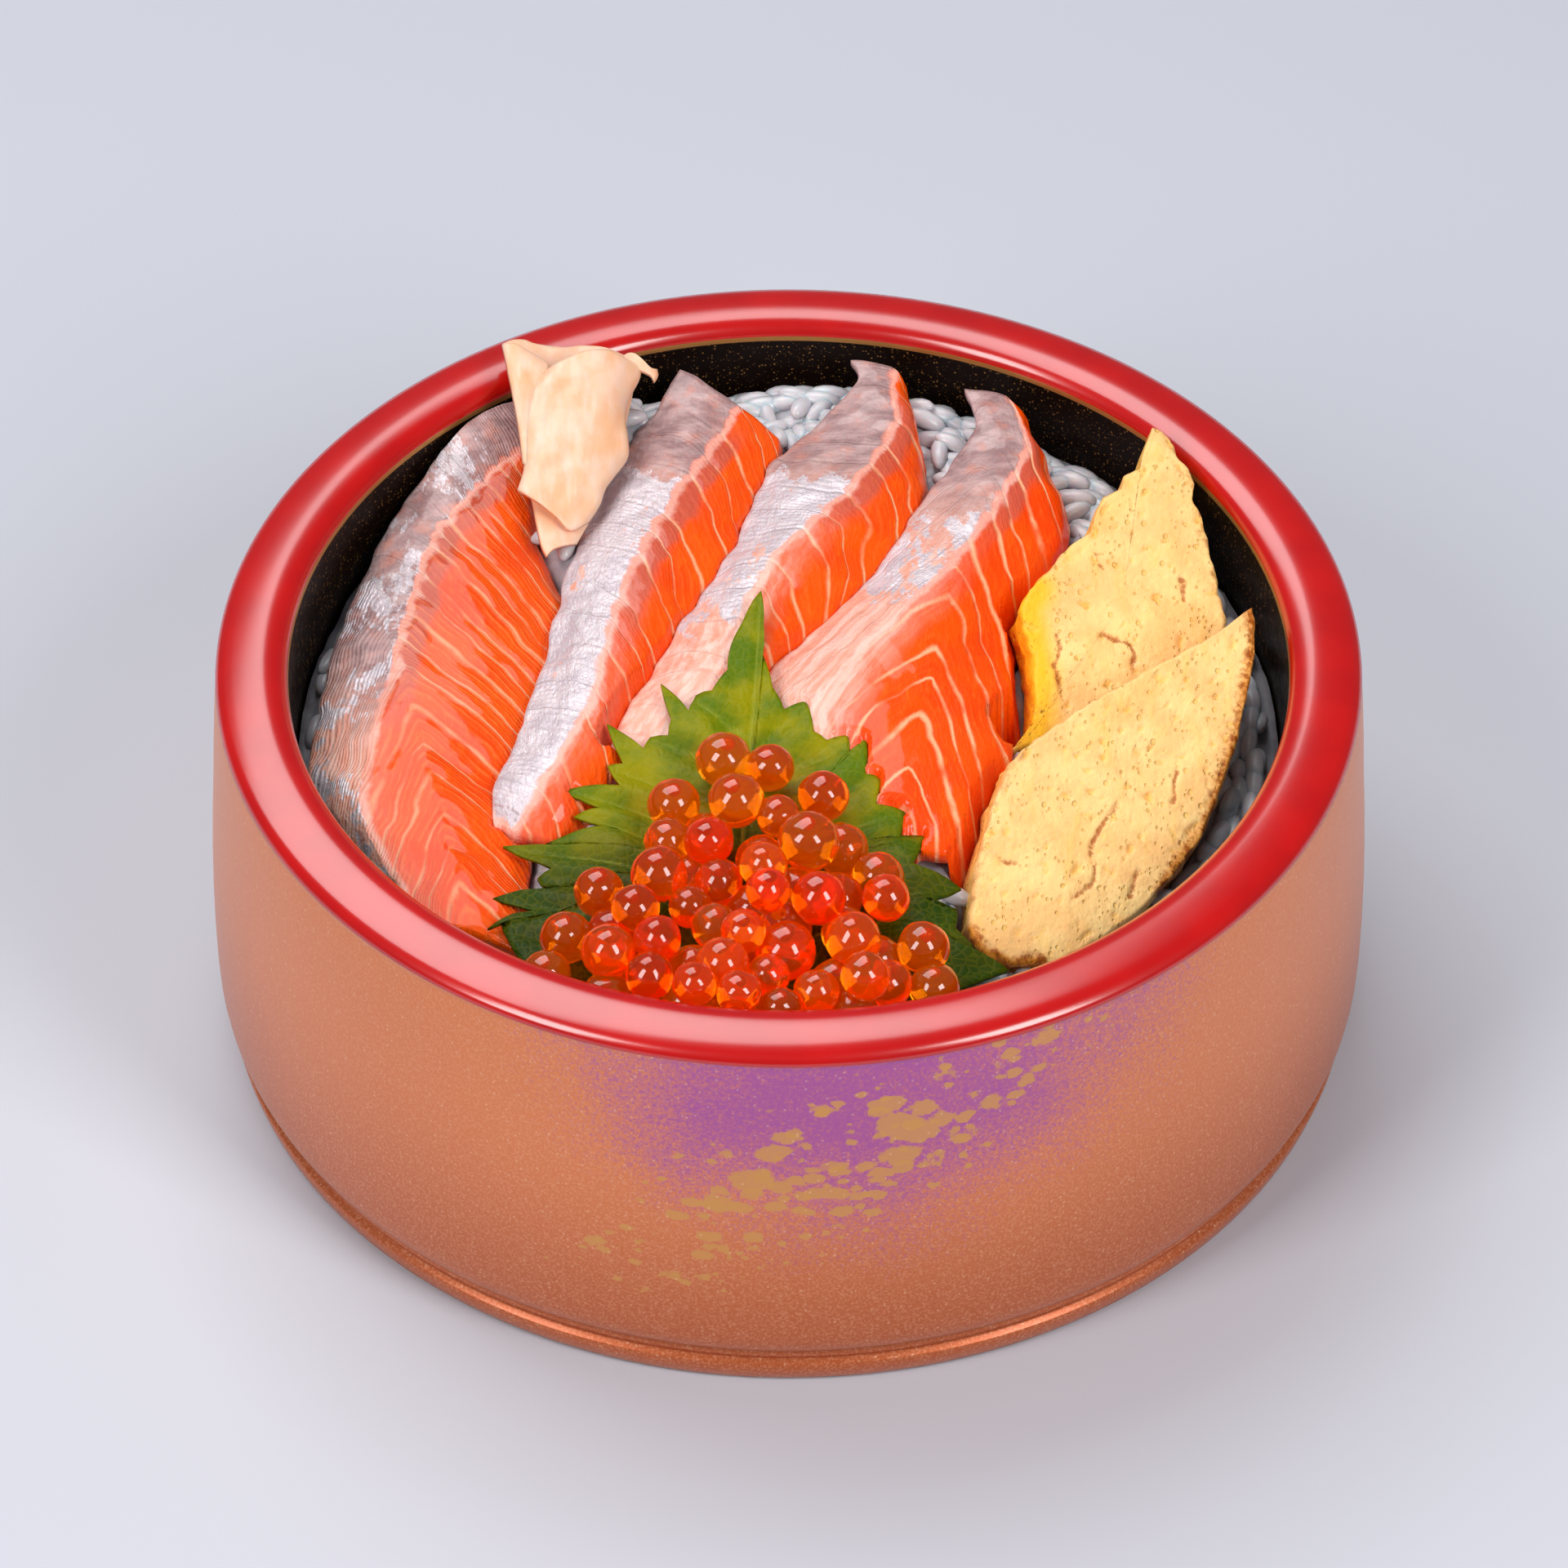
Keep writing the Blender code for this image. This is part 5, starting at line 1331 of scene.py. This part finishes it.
def makeSlice(name):
    table = salmon["slices"][name]
    rows = salmon["rows"]
    t = np.linspace(0, 1, rows)
    skin = alongCurve(table["skin"], t)
    ridge = alongCurve(table["ridge"], t)
    cut = alongCurve(table["cut"], t)
    end = np.minimum(1.0, np.minimum(0.45 + 6.0 * t, 0.45 + 6.0 * (1 - t)))[:, None]
    s = np.linspace(0, 1, salmon["skinCols"] + 1)[None, :]
    f = np.linspace(0, 1, salmon["fleshCols"] + 1)[None, 1:]
    skinPart = skin[:, None] * (1 - s[..., None]) + ridge[:, None] * s[..., None]
    skinPart[..., 2] += 0.5 * np.sin(math.pi * s) * end
    fleshPart = ridge[:, None] * (1 - f[..., None]) + cut[:, None] * f[..., None]
    fleshPart[..., 2] += 1.3 * np.sin(math.pi * f) * end - 0.9 * smoothStep(0.88, 1.0, f)
    grid = np.concatenate((skinPart, fleshPart), axis=1)
    for turn in range(2):    # soften the crease at the ridge
        grid[:, 1:-1, 2] = (grid[:, :-2, 2] + 2 * grid[:, 1:-1, 2] + grid[:, 2:, 2]) / 4
    cols = grid.shape[1]
    along = np.repeat(t[:, None], cols, axis=1)
    widthSkin = np.linalg.norm(ridge - skin, axis=1)[:, None]
    widthFlesh = np.linalg.norm(cut - ridge, axis=1)[:, None]
    fromRidge = np.concatenate(((s - 1) * widthSkin, f * widthFlesh), axis=1)
    seed = 3.7 * int(name[-1])
    drift = rough(grid, 14.0, seed) * 2.2 + rough(grid, 5.0, seed) * 0.7 + rough(grid, 1.8, seed) * 0.22
    if table["apex"]:    # nested bent lines whose apexes lie on an axis
        axis = np.array(table["axis"]) / np.linalg.norm(table["axis"])
        dx = grid[..., 0] - table["apex"][0]
        dy = grid[..., 1] - table["apex"][1]
        down = dx * axis[0] + dy * axis[1]
        off = dx * -axis[1] + dy * axis[0]
        soft = np.sqrt(off * off + 0.5)
        right = np.maximum(soft * (off > 0), 0)
        left = soft * (off <= 0)
        slopes = np.where(off > 0, table["arms"][1] + 2 * table["bend"] * right, table["arms"][0])
        flow = down - table["arms"][1] * right - table["bend"] * right ** 2 - table["arms"][0] * left
    else:                # lines that leave the ridge slantwise
        length = np.concatenate(([0], np.cumsum(np.linalg.norm(np.diff(ridge, axis=0), axis=1))))[:, None]
        away = np.maximum(fromRidge, 0)
        slopes = table["arms"][1] + 2 * table["bend"] * away
        flow = length - table["arms"][1] * away - table["bend"] * away ** 2
    phase = (flow + drift) / table["spacing"]
    phase = phase + 0.16 * np.sin(phase * 2.3 + seed)
    lineWidth = table["line"] * np.hypot(1, slopes) * 0.5 * (1 + 0.5 * rough(grid, 6.0, seed + 2))
    triangle = np.abs(phase - np.round(phase))
    lines = 1 - smoothStep(lineWidth * 0.4, lineWidth * 1.3, triangle)
    scallop = np.sqrt(np.clip(triangle * 2, 0, 1)) * 0.6 - 0.37
    scalloped = smoothStep(table["blobs"] + 0.2, table["blobs"], along)
    onFlesh = smoothStep(0.0, 1.0, fromRidge + scallop * scalloped)
    blob = onFlesh * (1 - smoothStep(3.2, 4.8, fromRidge + rough(grid, 2.5, 1.0) * 0.9))
    blob = blob * smoothStep(table["blobs"] + 0.10, table["blobs"] - 0.10, along)
    blob = blob * smoothStep(0.03, 0.12, along)
    # relief
    lift = rough(grid, 7.0, seed) * 0.34 + rough(grid, 1.9, seed) * 0.05
    lift += 0.08 * blob * (1 - lines) + 0.12 * onFlesh * np.sqrt(np.clip(triangle * 2, 0, 1))
    lift += (1 - onFlesh) * (rough(grid, 2.6, seed + 4) * 0.20 + rough(grid, 1.1, seed + 8) * 0.06)
    grid[..., 2] += lift * end
    grid[..., 0] += rough(grid, 5.0, seed + 9) * 0.7 + rough(grid, 2.0, seed + 5) * 0.15
    grid[..., 1] += rough(grid, 5.0, seed + 15) * 0.7
    grid = heldInside(grid, salmon["reach"])
    grid[..., 2] = np.minimum(grid[..., 2], freeHeight(grid[..., 0], grid[..., 1]))
    j = np.arange(cols)
    place = np.where(j <= salmon["skinCols"], 3.0 * j / salmon["skinCols"],
                     3.0 + 4.0 * (j - salmon["skinCols"]) / salmon["fleshCols"])
    deep = np.interp(place, np.arange(8), salmon["depthAt"])[None, :]
    low = grid.copy()
    low[..., 2] -= np.maximum(salmon["thickness"] * deep * end, 0.9)
    silverLow, silverHigh, silverMost = table["silver"]
    silver = silverMost * smoothStep(silverLow - 0.07, silverLow + 0.09, along) \
        * smoothStep(silverHigh + 0.10, silverHigh - 0.06, along)
    grey = smoothStep(table["grey"] + 0.14, table["grey"] - 0.12, along)
    pale = table["pale"] * smoothStep(0.30, 0.75, along)
    looks = {"phase": phase, "lineWidth": lineWidth, "fromRidge": fromRidge, "silver": silver,
             "grey": grey, "pale": pale, "blob": blob}
    for key in ("light", "fine", "contrast"):
        looks[key] = np.full(along.shape, table[key])
    looks["scallop"] = scalloped
    verts = np.vstack((grid.reshape(-1, 3), low.reshape(-1, 3)))
    piece = makePiece(name.replace("salmon_", "salmonSlice"), verts, slabFaces(rows, cols),
                      attributes={key: bothFaces(values) for key, values in looks.items()})
    faceOutward(piece)
    return piece


def makeRawSalmon():
    material, tree, shader = newMaterial("rawSalmon", Subsurface_Weight=0.10, Subsurface_Scale=0.0015,
                                         Coat_Weight=0.45, Coat_Roughness=0.08, Specular_IOR_Level=0.08)
    place = placeOf(tree)
    fine = noiseOf(tree, place, 0.7, 3.0, 0.65)
    broad = noiseOf(tree, place, 7.0, 3.0)
    fibre = noiseOf(tree, placeOf(tree, (1.0, 0.30, 1.0), (0, 0, 40)), 0.8, 3.0, 0.6)
    phase = plus(tree, valueOf(tree, "phase"), times(tree, fine, 0.05))
    swing = mathOf(tree, "PINGPONG", phase, 0.5)
    arch = minus(tree, times(tree, mathOf(tree, "SQRT", times(tree, swing, 2.0)), 0.9), 0.55)
    ridge = plus(tree, valueOf(tree, "fromRidge"), times(tree, arch, valueOf(tree, "scallop")))
    ridge = plus(tree, ridge, bothWays(tree, noiseOf(tree, place, 1.8, 3.0), 1.6))
    # flesh
    skin = useGroup(tree, moistSurface, Colour=salmon["flesh"], Second=salmon["fleshDeep"], Patch=8.0,
                    Grain=0.5, Amount=0.55)
    light = times(tree, valueOf(tree, "light"), stepOf(tree, broad, 0.3, 0.7, 0.4, 1.3))
    base = blendOf(tree, light, skin["Colour"], salmon["fleshLight"])
    base = blendOf(tree, stepOf(tree, fibre, 0.5, 0.85, 0.0, 0.45), base, salmon["fleshLight"])
    base = blendOf(tree, times(tree, valueOf(tree, "blob"), 0.8), base, salmon["muscle"])
    # pale lines between the muscle layers, a fainter set between them
    width = valueOf(tree, "lineWidth")
    line = stepOf(tree, swing, times(tree, width, 0.1), times(tree, width, 1.4), 1.0, 0.0)
    lineShare = times(tree, line, stepOf(tree, broad, 0.34, 0.60, 0.15, 1.0), valueOf(tree, "contrast"))
    thin = stepOf(tree, mathOf(tree, "PINGPONG", times(tree, phase, 3.0), 0.5), 0.03, 0.30, 1.0, 0.0)
    thinShare = times(tree, thin, valueOf(tree, "fine"),
                      stepOf(tree, noiseOf(tree, place, 4.0, 2.0), 0.4, 0.65, 0.05, 0.42))
    base = blendOf(tree, thinShare, base, salmon["thinLine"])
    base = blendOf(tree, lineShare, base, salmon["fat"])
    # pale fat, drawn out in strands along the slice
    drawn = tree.nodes.new("ShaderNodeCombineXYZ")
    feed(tree, drawn.inputs[0], times(tree, valueOf(tree, "fromRidge"), 0.72))
    feed(tree, drawn.inputs[1], times(tree, phase, 1.6))
    strands = noiseOf(tree, drawn.outputs[0], 1.0, 4.0, 0.62)
    pinkTone = blendOf(tree, stepOf(tree, strands, 0.38, 0.62), salmon["pinkDeep"], salmon["pinkFat"])
    paleShare = times(tree, valueOf(tree, "pale"), stepOf(tree, ridge, 6.5, 0.5, 0.0, 0.9),
                      stepOf(tree, strands, 0.34, 0.60, 0.68, 1.0))
    base = blendOf(tree, paleShare, base, pinkTone)
    border = stepOf(tree, mathOf(tree, "ABSOLUTE", minus(tree, ridge, 0.3)), 0.25, 1.3, 0.6, 0.0)
    base = blendOf(tree, border, base, salmon["pinkFat"])
    # skin side: grey at the top, pink below, with patches of silver
    patch = noiseOf(tree, placeOf(tree, (1.0, 0.55, 1.0), (0, 0, 25)), 4.6, 6.0, 0.72)
    streak = noiseOf(tree, placeOf(tree, (0.7, 1.2, 1.0), (0, 0, 20)), 2.8, 3.0, 0.55)
    greyTone = blendOf(tree, stepOf(tree, streak, 0.3, 0.7), salmon["greyDark"], salmon["greySkin"])
    side = blendOf(tree, valueOf(tree, "grey"), pinkTone, greyTone)
    flush = stepOf(tree, noiseOf(tree, place, 3.0, 3.0), 0.5, 0.75, 0.0, 0.5)
    side = blendOf(tree, flush, side, salmon["flush"])
    silverSeen = plus(tree, minus(tree, patch, 0.5), bothWays(tree, valueOf(tree, "silver"), 0.62))
    silverSeen = stepOf(tree, silverSeen, -0.02, 0.035)
    silverTone = blendOf(tree, stepOf(tree, streak, 0.35, 0.7), salmon["silverDark"], salmon["silverSkin"])
    side = blendOf(tree, silverSeen, side, silverTone)
    onSkin = stepOf(tree, ridge, -0.7, 0.1, 1.0, 0.0)
    base = blendOf(tree, onSkin, base, side)
    tree.links.new(base, shader.inputs["Base Color"])
    tree.links.new(times(tree, onSkin, silverSeen, 0.25), shader.inputs["Metallic"])
    tree.links.new(stepOf(tree, skin["Gloss"], 0, 1, 0.30, 0.46), shader.inputs["Roughness"])
    # relief: fibres, sunk lines, scales on the skin side, ripples and a fine wet grain
    cells = cellsOf(tree, placeOf(tree, (1.0, 0.8, 1.0), (0, 0, 30)), 2.6, "SMOOTH_F1")["Distance"]
    ripple = mathOf(tree, "PINGPONG", times(tree, phase, 6.0), 0.5)
    height = plus(tree, times(tree, fibre, 0.8), times(tree, line, -0.3))
    height = plus(tree, height, times(tree, plus(tree, cells, fine), times(tree, onSkin, 0.35)))
    height = plus(tree, height, times(tree, ripple, valueOf(tree, "fine"), 0.9))
    height = plus(tree, height, times(tree, fine, 0.45))
    bumpOf(tree, shader, height, 0.34, 0.9)
    return material


coverWith(leafPiece)
coverWith(eggSkins)
for slabName in omelettePieces:
    coverWith(omelettePieces[slabName])
coverWith(gingerPiece)
rawSalmon = makeRawSalmon()
for sliceName in ("salmon_4", "salmon_3", "salmon_2", "salmon_1"):
    slicePiece = makeSlice(sliceName)
    finishPiece(slicePiece, [rawSalmon], sliceName)
    coverWith(slicePiece)


# Rice

rice = {
    "level": 45.8, "slope": 0.085, "rings": 64, "around": 200, "reach": 67.15,
    "grainLength": 6.6, "grainWidth": 2.8, "spacing": 2.1, "seed": 5,
    # deep, and shade where it colours the bed, are painted shade in the gaps between the grains
    "white": colour(214, 211, 215), "shade": colour(184, 180, 187), "deep": colour(136, 132, 138),
}


def riceHeight(x, y):
    z = rice["level"] + rice["slope"] * y
    z = z + 1.6 * np.exp(-((x - 10.0) ** 2 + (y - 58.0) ** 2) / 300.0)
    return z + 0.5 * np.sin(0.35 * x + 1.0) * np.cos(0.31 * y)


def makeRiceCore():
    around = rice["around"]
    rings = rice["rings"]
    angle = 2 * math.pi * np.arange(around) / around
    verts = [np.array([[0.0, 0.0, 0.0]])]
    for ring in range(1, rings + 1):
        r = rice["reach"] * (ring / rings) ** 0.85
        verts.append(np.column_stack((r * np.cos(angle), r * np.sin(angle), 0 * angle)))
    top = np.vstack(verts)
    x, y = top[:, 0], top[:, 1]
    loose = riceHeight(x, y) + rough(top, 2.6, 1.0) * 0.7 - 2.6 * smoothStep(62.5, 66.5, np.hypot(x, y))
    lid = freeHeight(x, y)
    # well under the food the bed rises to carry it
    inside = np.mean([freeHeight(x + 5 * math.cos(a), y + 5 * math.sin(a)) < 150
                      for a in np.linspace(0, 2 * math.pi, 9)[:-1]], axis=0)
    rise = 5.0 * smoothStep(0.8, 1.0, inside)
    top[:, 2] = np.minimum(lid, loose + rise)
    shown = smoothStep(1.6, 3.4, lid - top[:, 2])
    low = []
    for r, z in ((66.9, 22.2), (64.9, 16.3), (60.7, 13.3), (54.0, 12.4)):
        low.append(np.column_stack((r * np.cos(angle), r * np.sin(angle), 0 * angle + z)))
    whole = np.vstack([top] + low + [np.array([[0.0, 0.0, 12.4]])])
    layers = rings + 4
    faces = []
    for k in range(around):
        m = (k + 1) % around
        faces.append((0, 1 + k, 1 + m))
        for ring in range(layers - 1):
            a = 1 + ring * around
            faces.append((a + k, a + around + k, a + around + m, a + m))
        a = 1 + (layers - 1) * around
        faces.append((a + m, a + k, len(whole) - 1))
    shown = np.concatenate((shown, np.zeros(len(whole) - len(shown))))
    piece = makePiece("riceBed", whole, faces, attributes={"shown": shown})
    faceOutward(piece)
    return piece


def grainTree():
    tree, given = newGrowth("riceGrains", [
        ("Spacing", "Float", 0.0022), ("Length", "Float", 0.0064), ("Width", "Float", 0.0027),
        ("Wall", "Float", 0.060), ("Edge", "Float", 0.0651), ("Lift", "Float", 0.0005),
        ("Tilt", "Float", 0.4), ("Seed", "Int", 0)])
    new = tree.nodes.new
    join = tree.links.new

    def chance(low, high, seed):
        node = new("FunctionNodeRandomValue")
        feed(tree, node.inputs[2], low)
        feed(tree, node.inputs[3], high)
        node.inputs["Seed"].default_value = seed
        return node.outputs[1]

    # one grain: a ball drawn out, a little bent and flattened
    ball = new("GeometryNodeMeshUVSphere")
    ball.inputs["Segments"].default_value = 9
    ball.inputs["Rings"].default_value = 8
    ball.inputs["Radius"].default_value = 1.0
    lying = new("GeometryNodeTransform")
    lying.inputs["Rotation"].default_value = (0, math.pi / 2, 0)
    join(ball.outputs["Mesh"], lying.inputs["Geometry"])
    px, py, pz = partsOf(tree, new("GeometryNodeInputPosition").outputs[0])
    blunt = minus(tree, 1.0, times(tree, mathOf(tree, "ABSOLUTE", px), 0.12))
    bent = minus(tree, times(tree, pz, 0.9), times(tree, px, px, 0.22))
    halfWidth = times(tree, given["Width"], 0.5)
    shape = new("ShaderNodeCombineXYZ")
    join(times(tree, times(tree, px, blunt), times(tree, given["Length"], 0.56)), shape.inputs[0])
    join(times(tree, py, halfWidth), shape.inputs[1])
    join(times(tree, bent, halfWidth), shape.inputs[2])
    grain = new("GeometryNodeSetPosition")
    join(lying.outputs[0], grain.inputs["Geometry"])
    join(shape.outputs[0], grain.inputs["Position"])
    # scatter over the part of the bed that shows
    scatter = new("GeometryNodeDistributePointsOnFaces")
    scatter.distribute_method = "POISSON"
    join(given["Geometry"], scatter.inputs["Mesh"])
    join(given["Spacing"], scatter.inputs["Distance Min"])
    scatter.inputs["Density Max"].default_value = 900000.0
    join(namedValue(tree, "shown"), scatter.inputs["Density Factor"])
    join(given["Seed"], scatter.inputs["Seed"])
    # none in the wall, and near the wall the grains lie along it
    x, y, _ = partsOf(tree, new("GeometryNodeInputPosition").outputs[0])
    reach = mathOf(tree, "SQRT", plus(tree, times(tree, x, x), times(tree, y, y)))
    drop = new("GeometryNodeDeleteGeometry")
    drop.domain = "POINT"
    join(scatter.outputs["Points"], drop.inputs["Geometry"])
    join(mathOf(tree, "GREATER_THAN", reach, given["Edge"]), drop.inputs["Selection"])
    atWall = mathOf(tree, "GREATER_THAN", reach, given["Wall"])
    alongWall = plus(tree, mathOf(tree, "ARCTAN2", y, x), chance(1.35, 1.8, 4))
    yaw = plus(tree, times(tree, alongWall, atWall),
               times(tree, chance(0.0, 6.28, 5), minus(tree, 1.0, atWall)))
    turn = new("ShaderNodeCombineXYZ")
    join(chance(-0.5, 0.5, 6), turn.inputs[0])
    join(times(tree, chance(-1.0, 1.0, 7), given["Tilt"]), turn.inputs[1])
    join(yaw, turn.inputs[2])
    raised = new("ShaderNodeCombineXYZ")
    join(plus(tree, given["Lift"], chance(-0.0006, 0.0006, 8)), raised.inputs[2])
    put = new("GeometryNodeInstanceOnPoints")
    join(movedBy(tree, drop.outputs[0], raised.outputs[0]), put.inputs["Points"])
    join(grain.outputs[0], put.inputs["Instance"])
    join(turn.outputs[0], put.inputs["Rotation"])
    join(chance(0.86, 1.08, 9), put.inputs["Scale"])
    endGrowth(tree, realized(tree, put.outputs[0]), given["Material"])
    return tree


def makeRiceWhite(name, white, shade):
    material, tree, shader = newMaterial(name, Subsurface_Weight=0.4, Subsurface_Scale=0.0016,
                                         Coat_Weight=0.2, Coat_Roughness=0.15)
    skin = useGroup(tree, moistSurface, Colour=white, Second=shade, Patch=3.5, Grain=0.6, Amount=0.6)
    tree.links.new(skin["Colour"], shader.inputs["Base Color"])
    tree.links.new(stepOf(tree, skin["Gloss"], 0, 1, 0.28, 0.42), shader.inputs["Roughness"])
    bumpOf(tree, shader, skin["Height"], 0.04, 0.5)
    return material


riceWhite = makeRiceWhite("riceWhite", rice["white"], rice["shade"])
# the bed that shows between the grains takes darker copies of the rice colours: painted shade
riceBedShaded = makeRiceWhite("riceBedShaded", rice["shade"], rice["deep"])
riceBed = makeRiceCore()
riceGrains = grow("riceGrains", riceBed, grainTree(), {
    "Spacing": rice["spacing"] * metresPerMm, "Length": rice["grainLength"] * metresPerMm,
    "Width": rice["grainWidth"] * metresPerMm, "Seed": rice["seed"], "Material": riceWhite})
finishPiece(riceBed, [riceBedShaded], "rice")
finishPiece(riceGrains, [riceWhite], "rice")


# Floor

floor = {"side": 4000.0, "colour": colour(194, 197, 207), "second": colour(214, 216, 224)}


def makeFloor():
    h = floor["side"] / 2
    corners = [(-h, -h, 0), (h, -h, 0), (h, h, 0), (-h, h, 0)]
    piece = makePiece("floor", corners, [(0, 1, 2, 3)], smooth=False)
    material, tree, shader = newMaterial("paleTable", Roughness=0.6)
    soft = times(tree, noiseOf(tree, placeOf(tree), 300.0, 1.0), 0.1)
    base = blendOf(tree, soft, floor["colour"], floor["second"])
    tree.links.new(base, shader.inputs["Base Color"])
    piece.data.materials.append(material)


makeFloor()
print("floor laid")
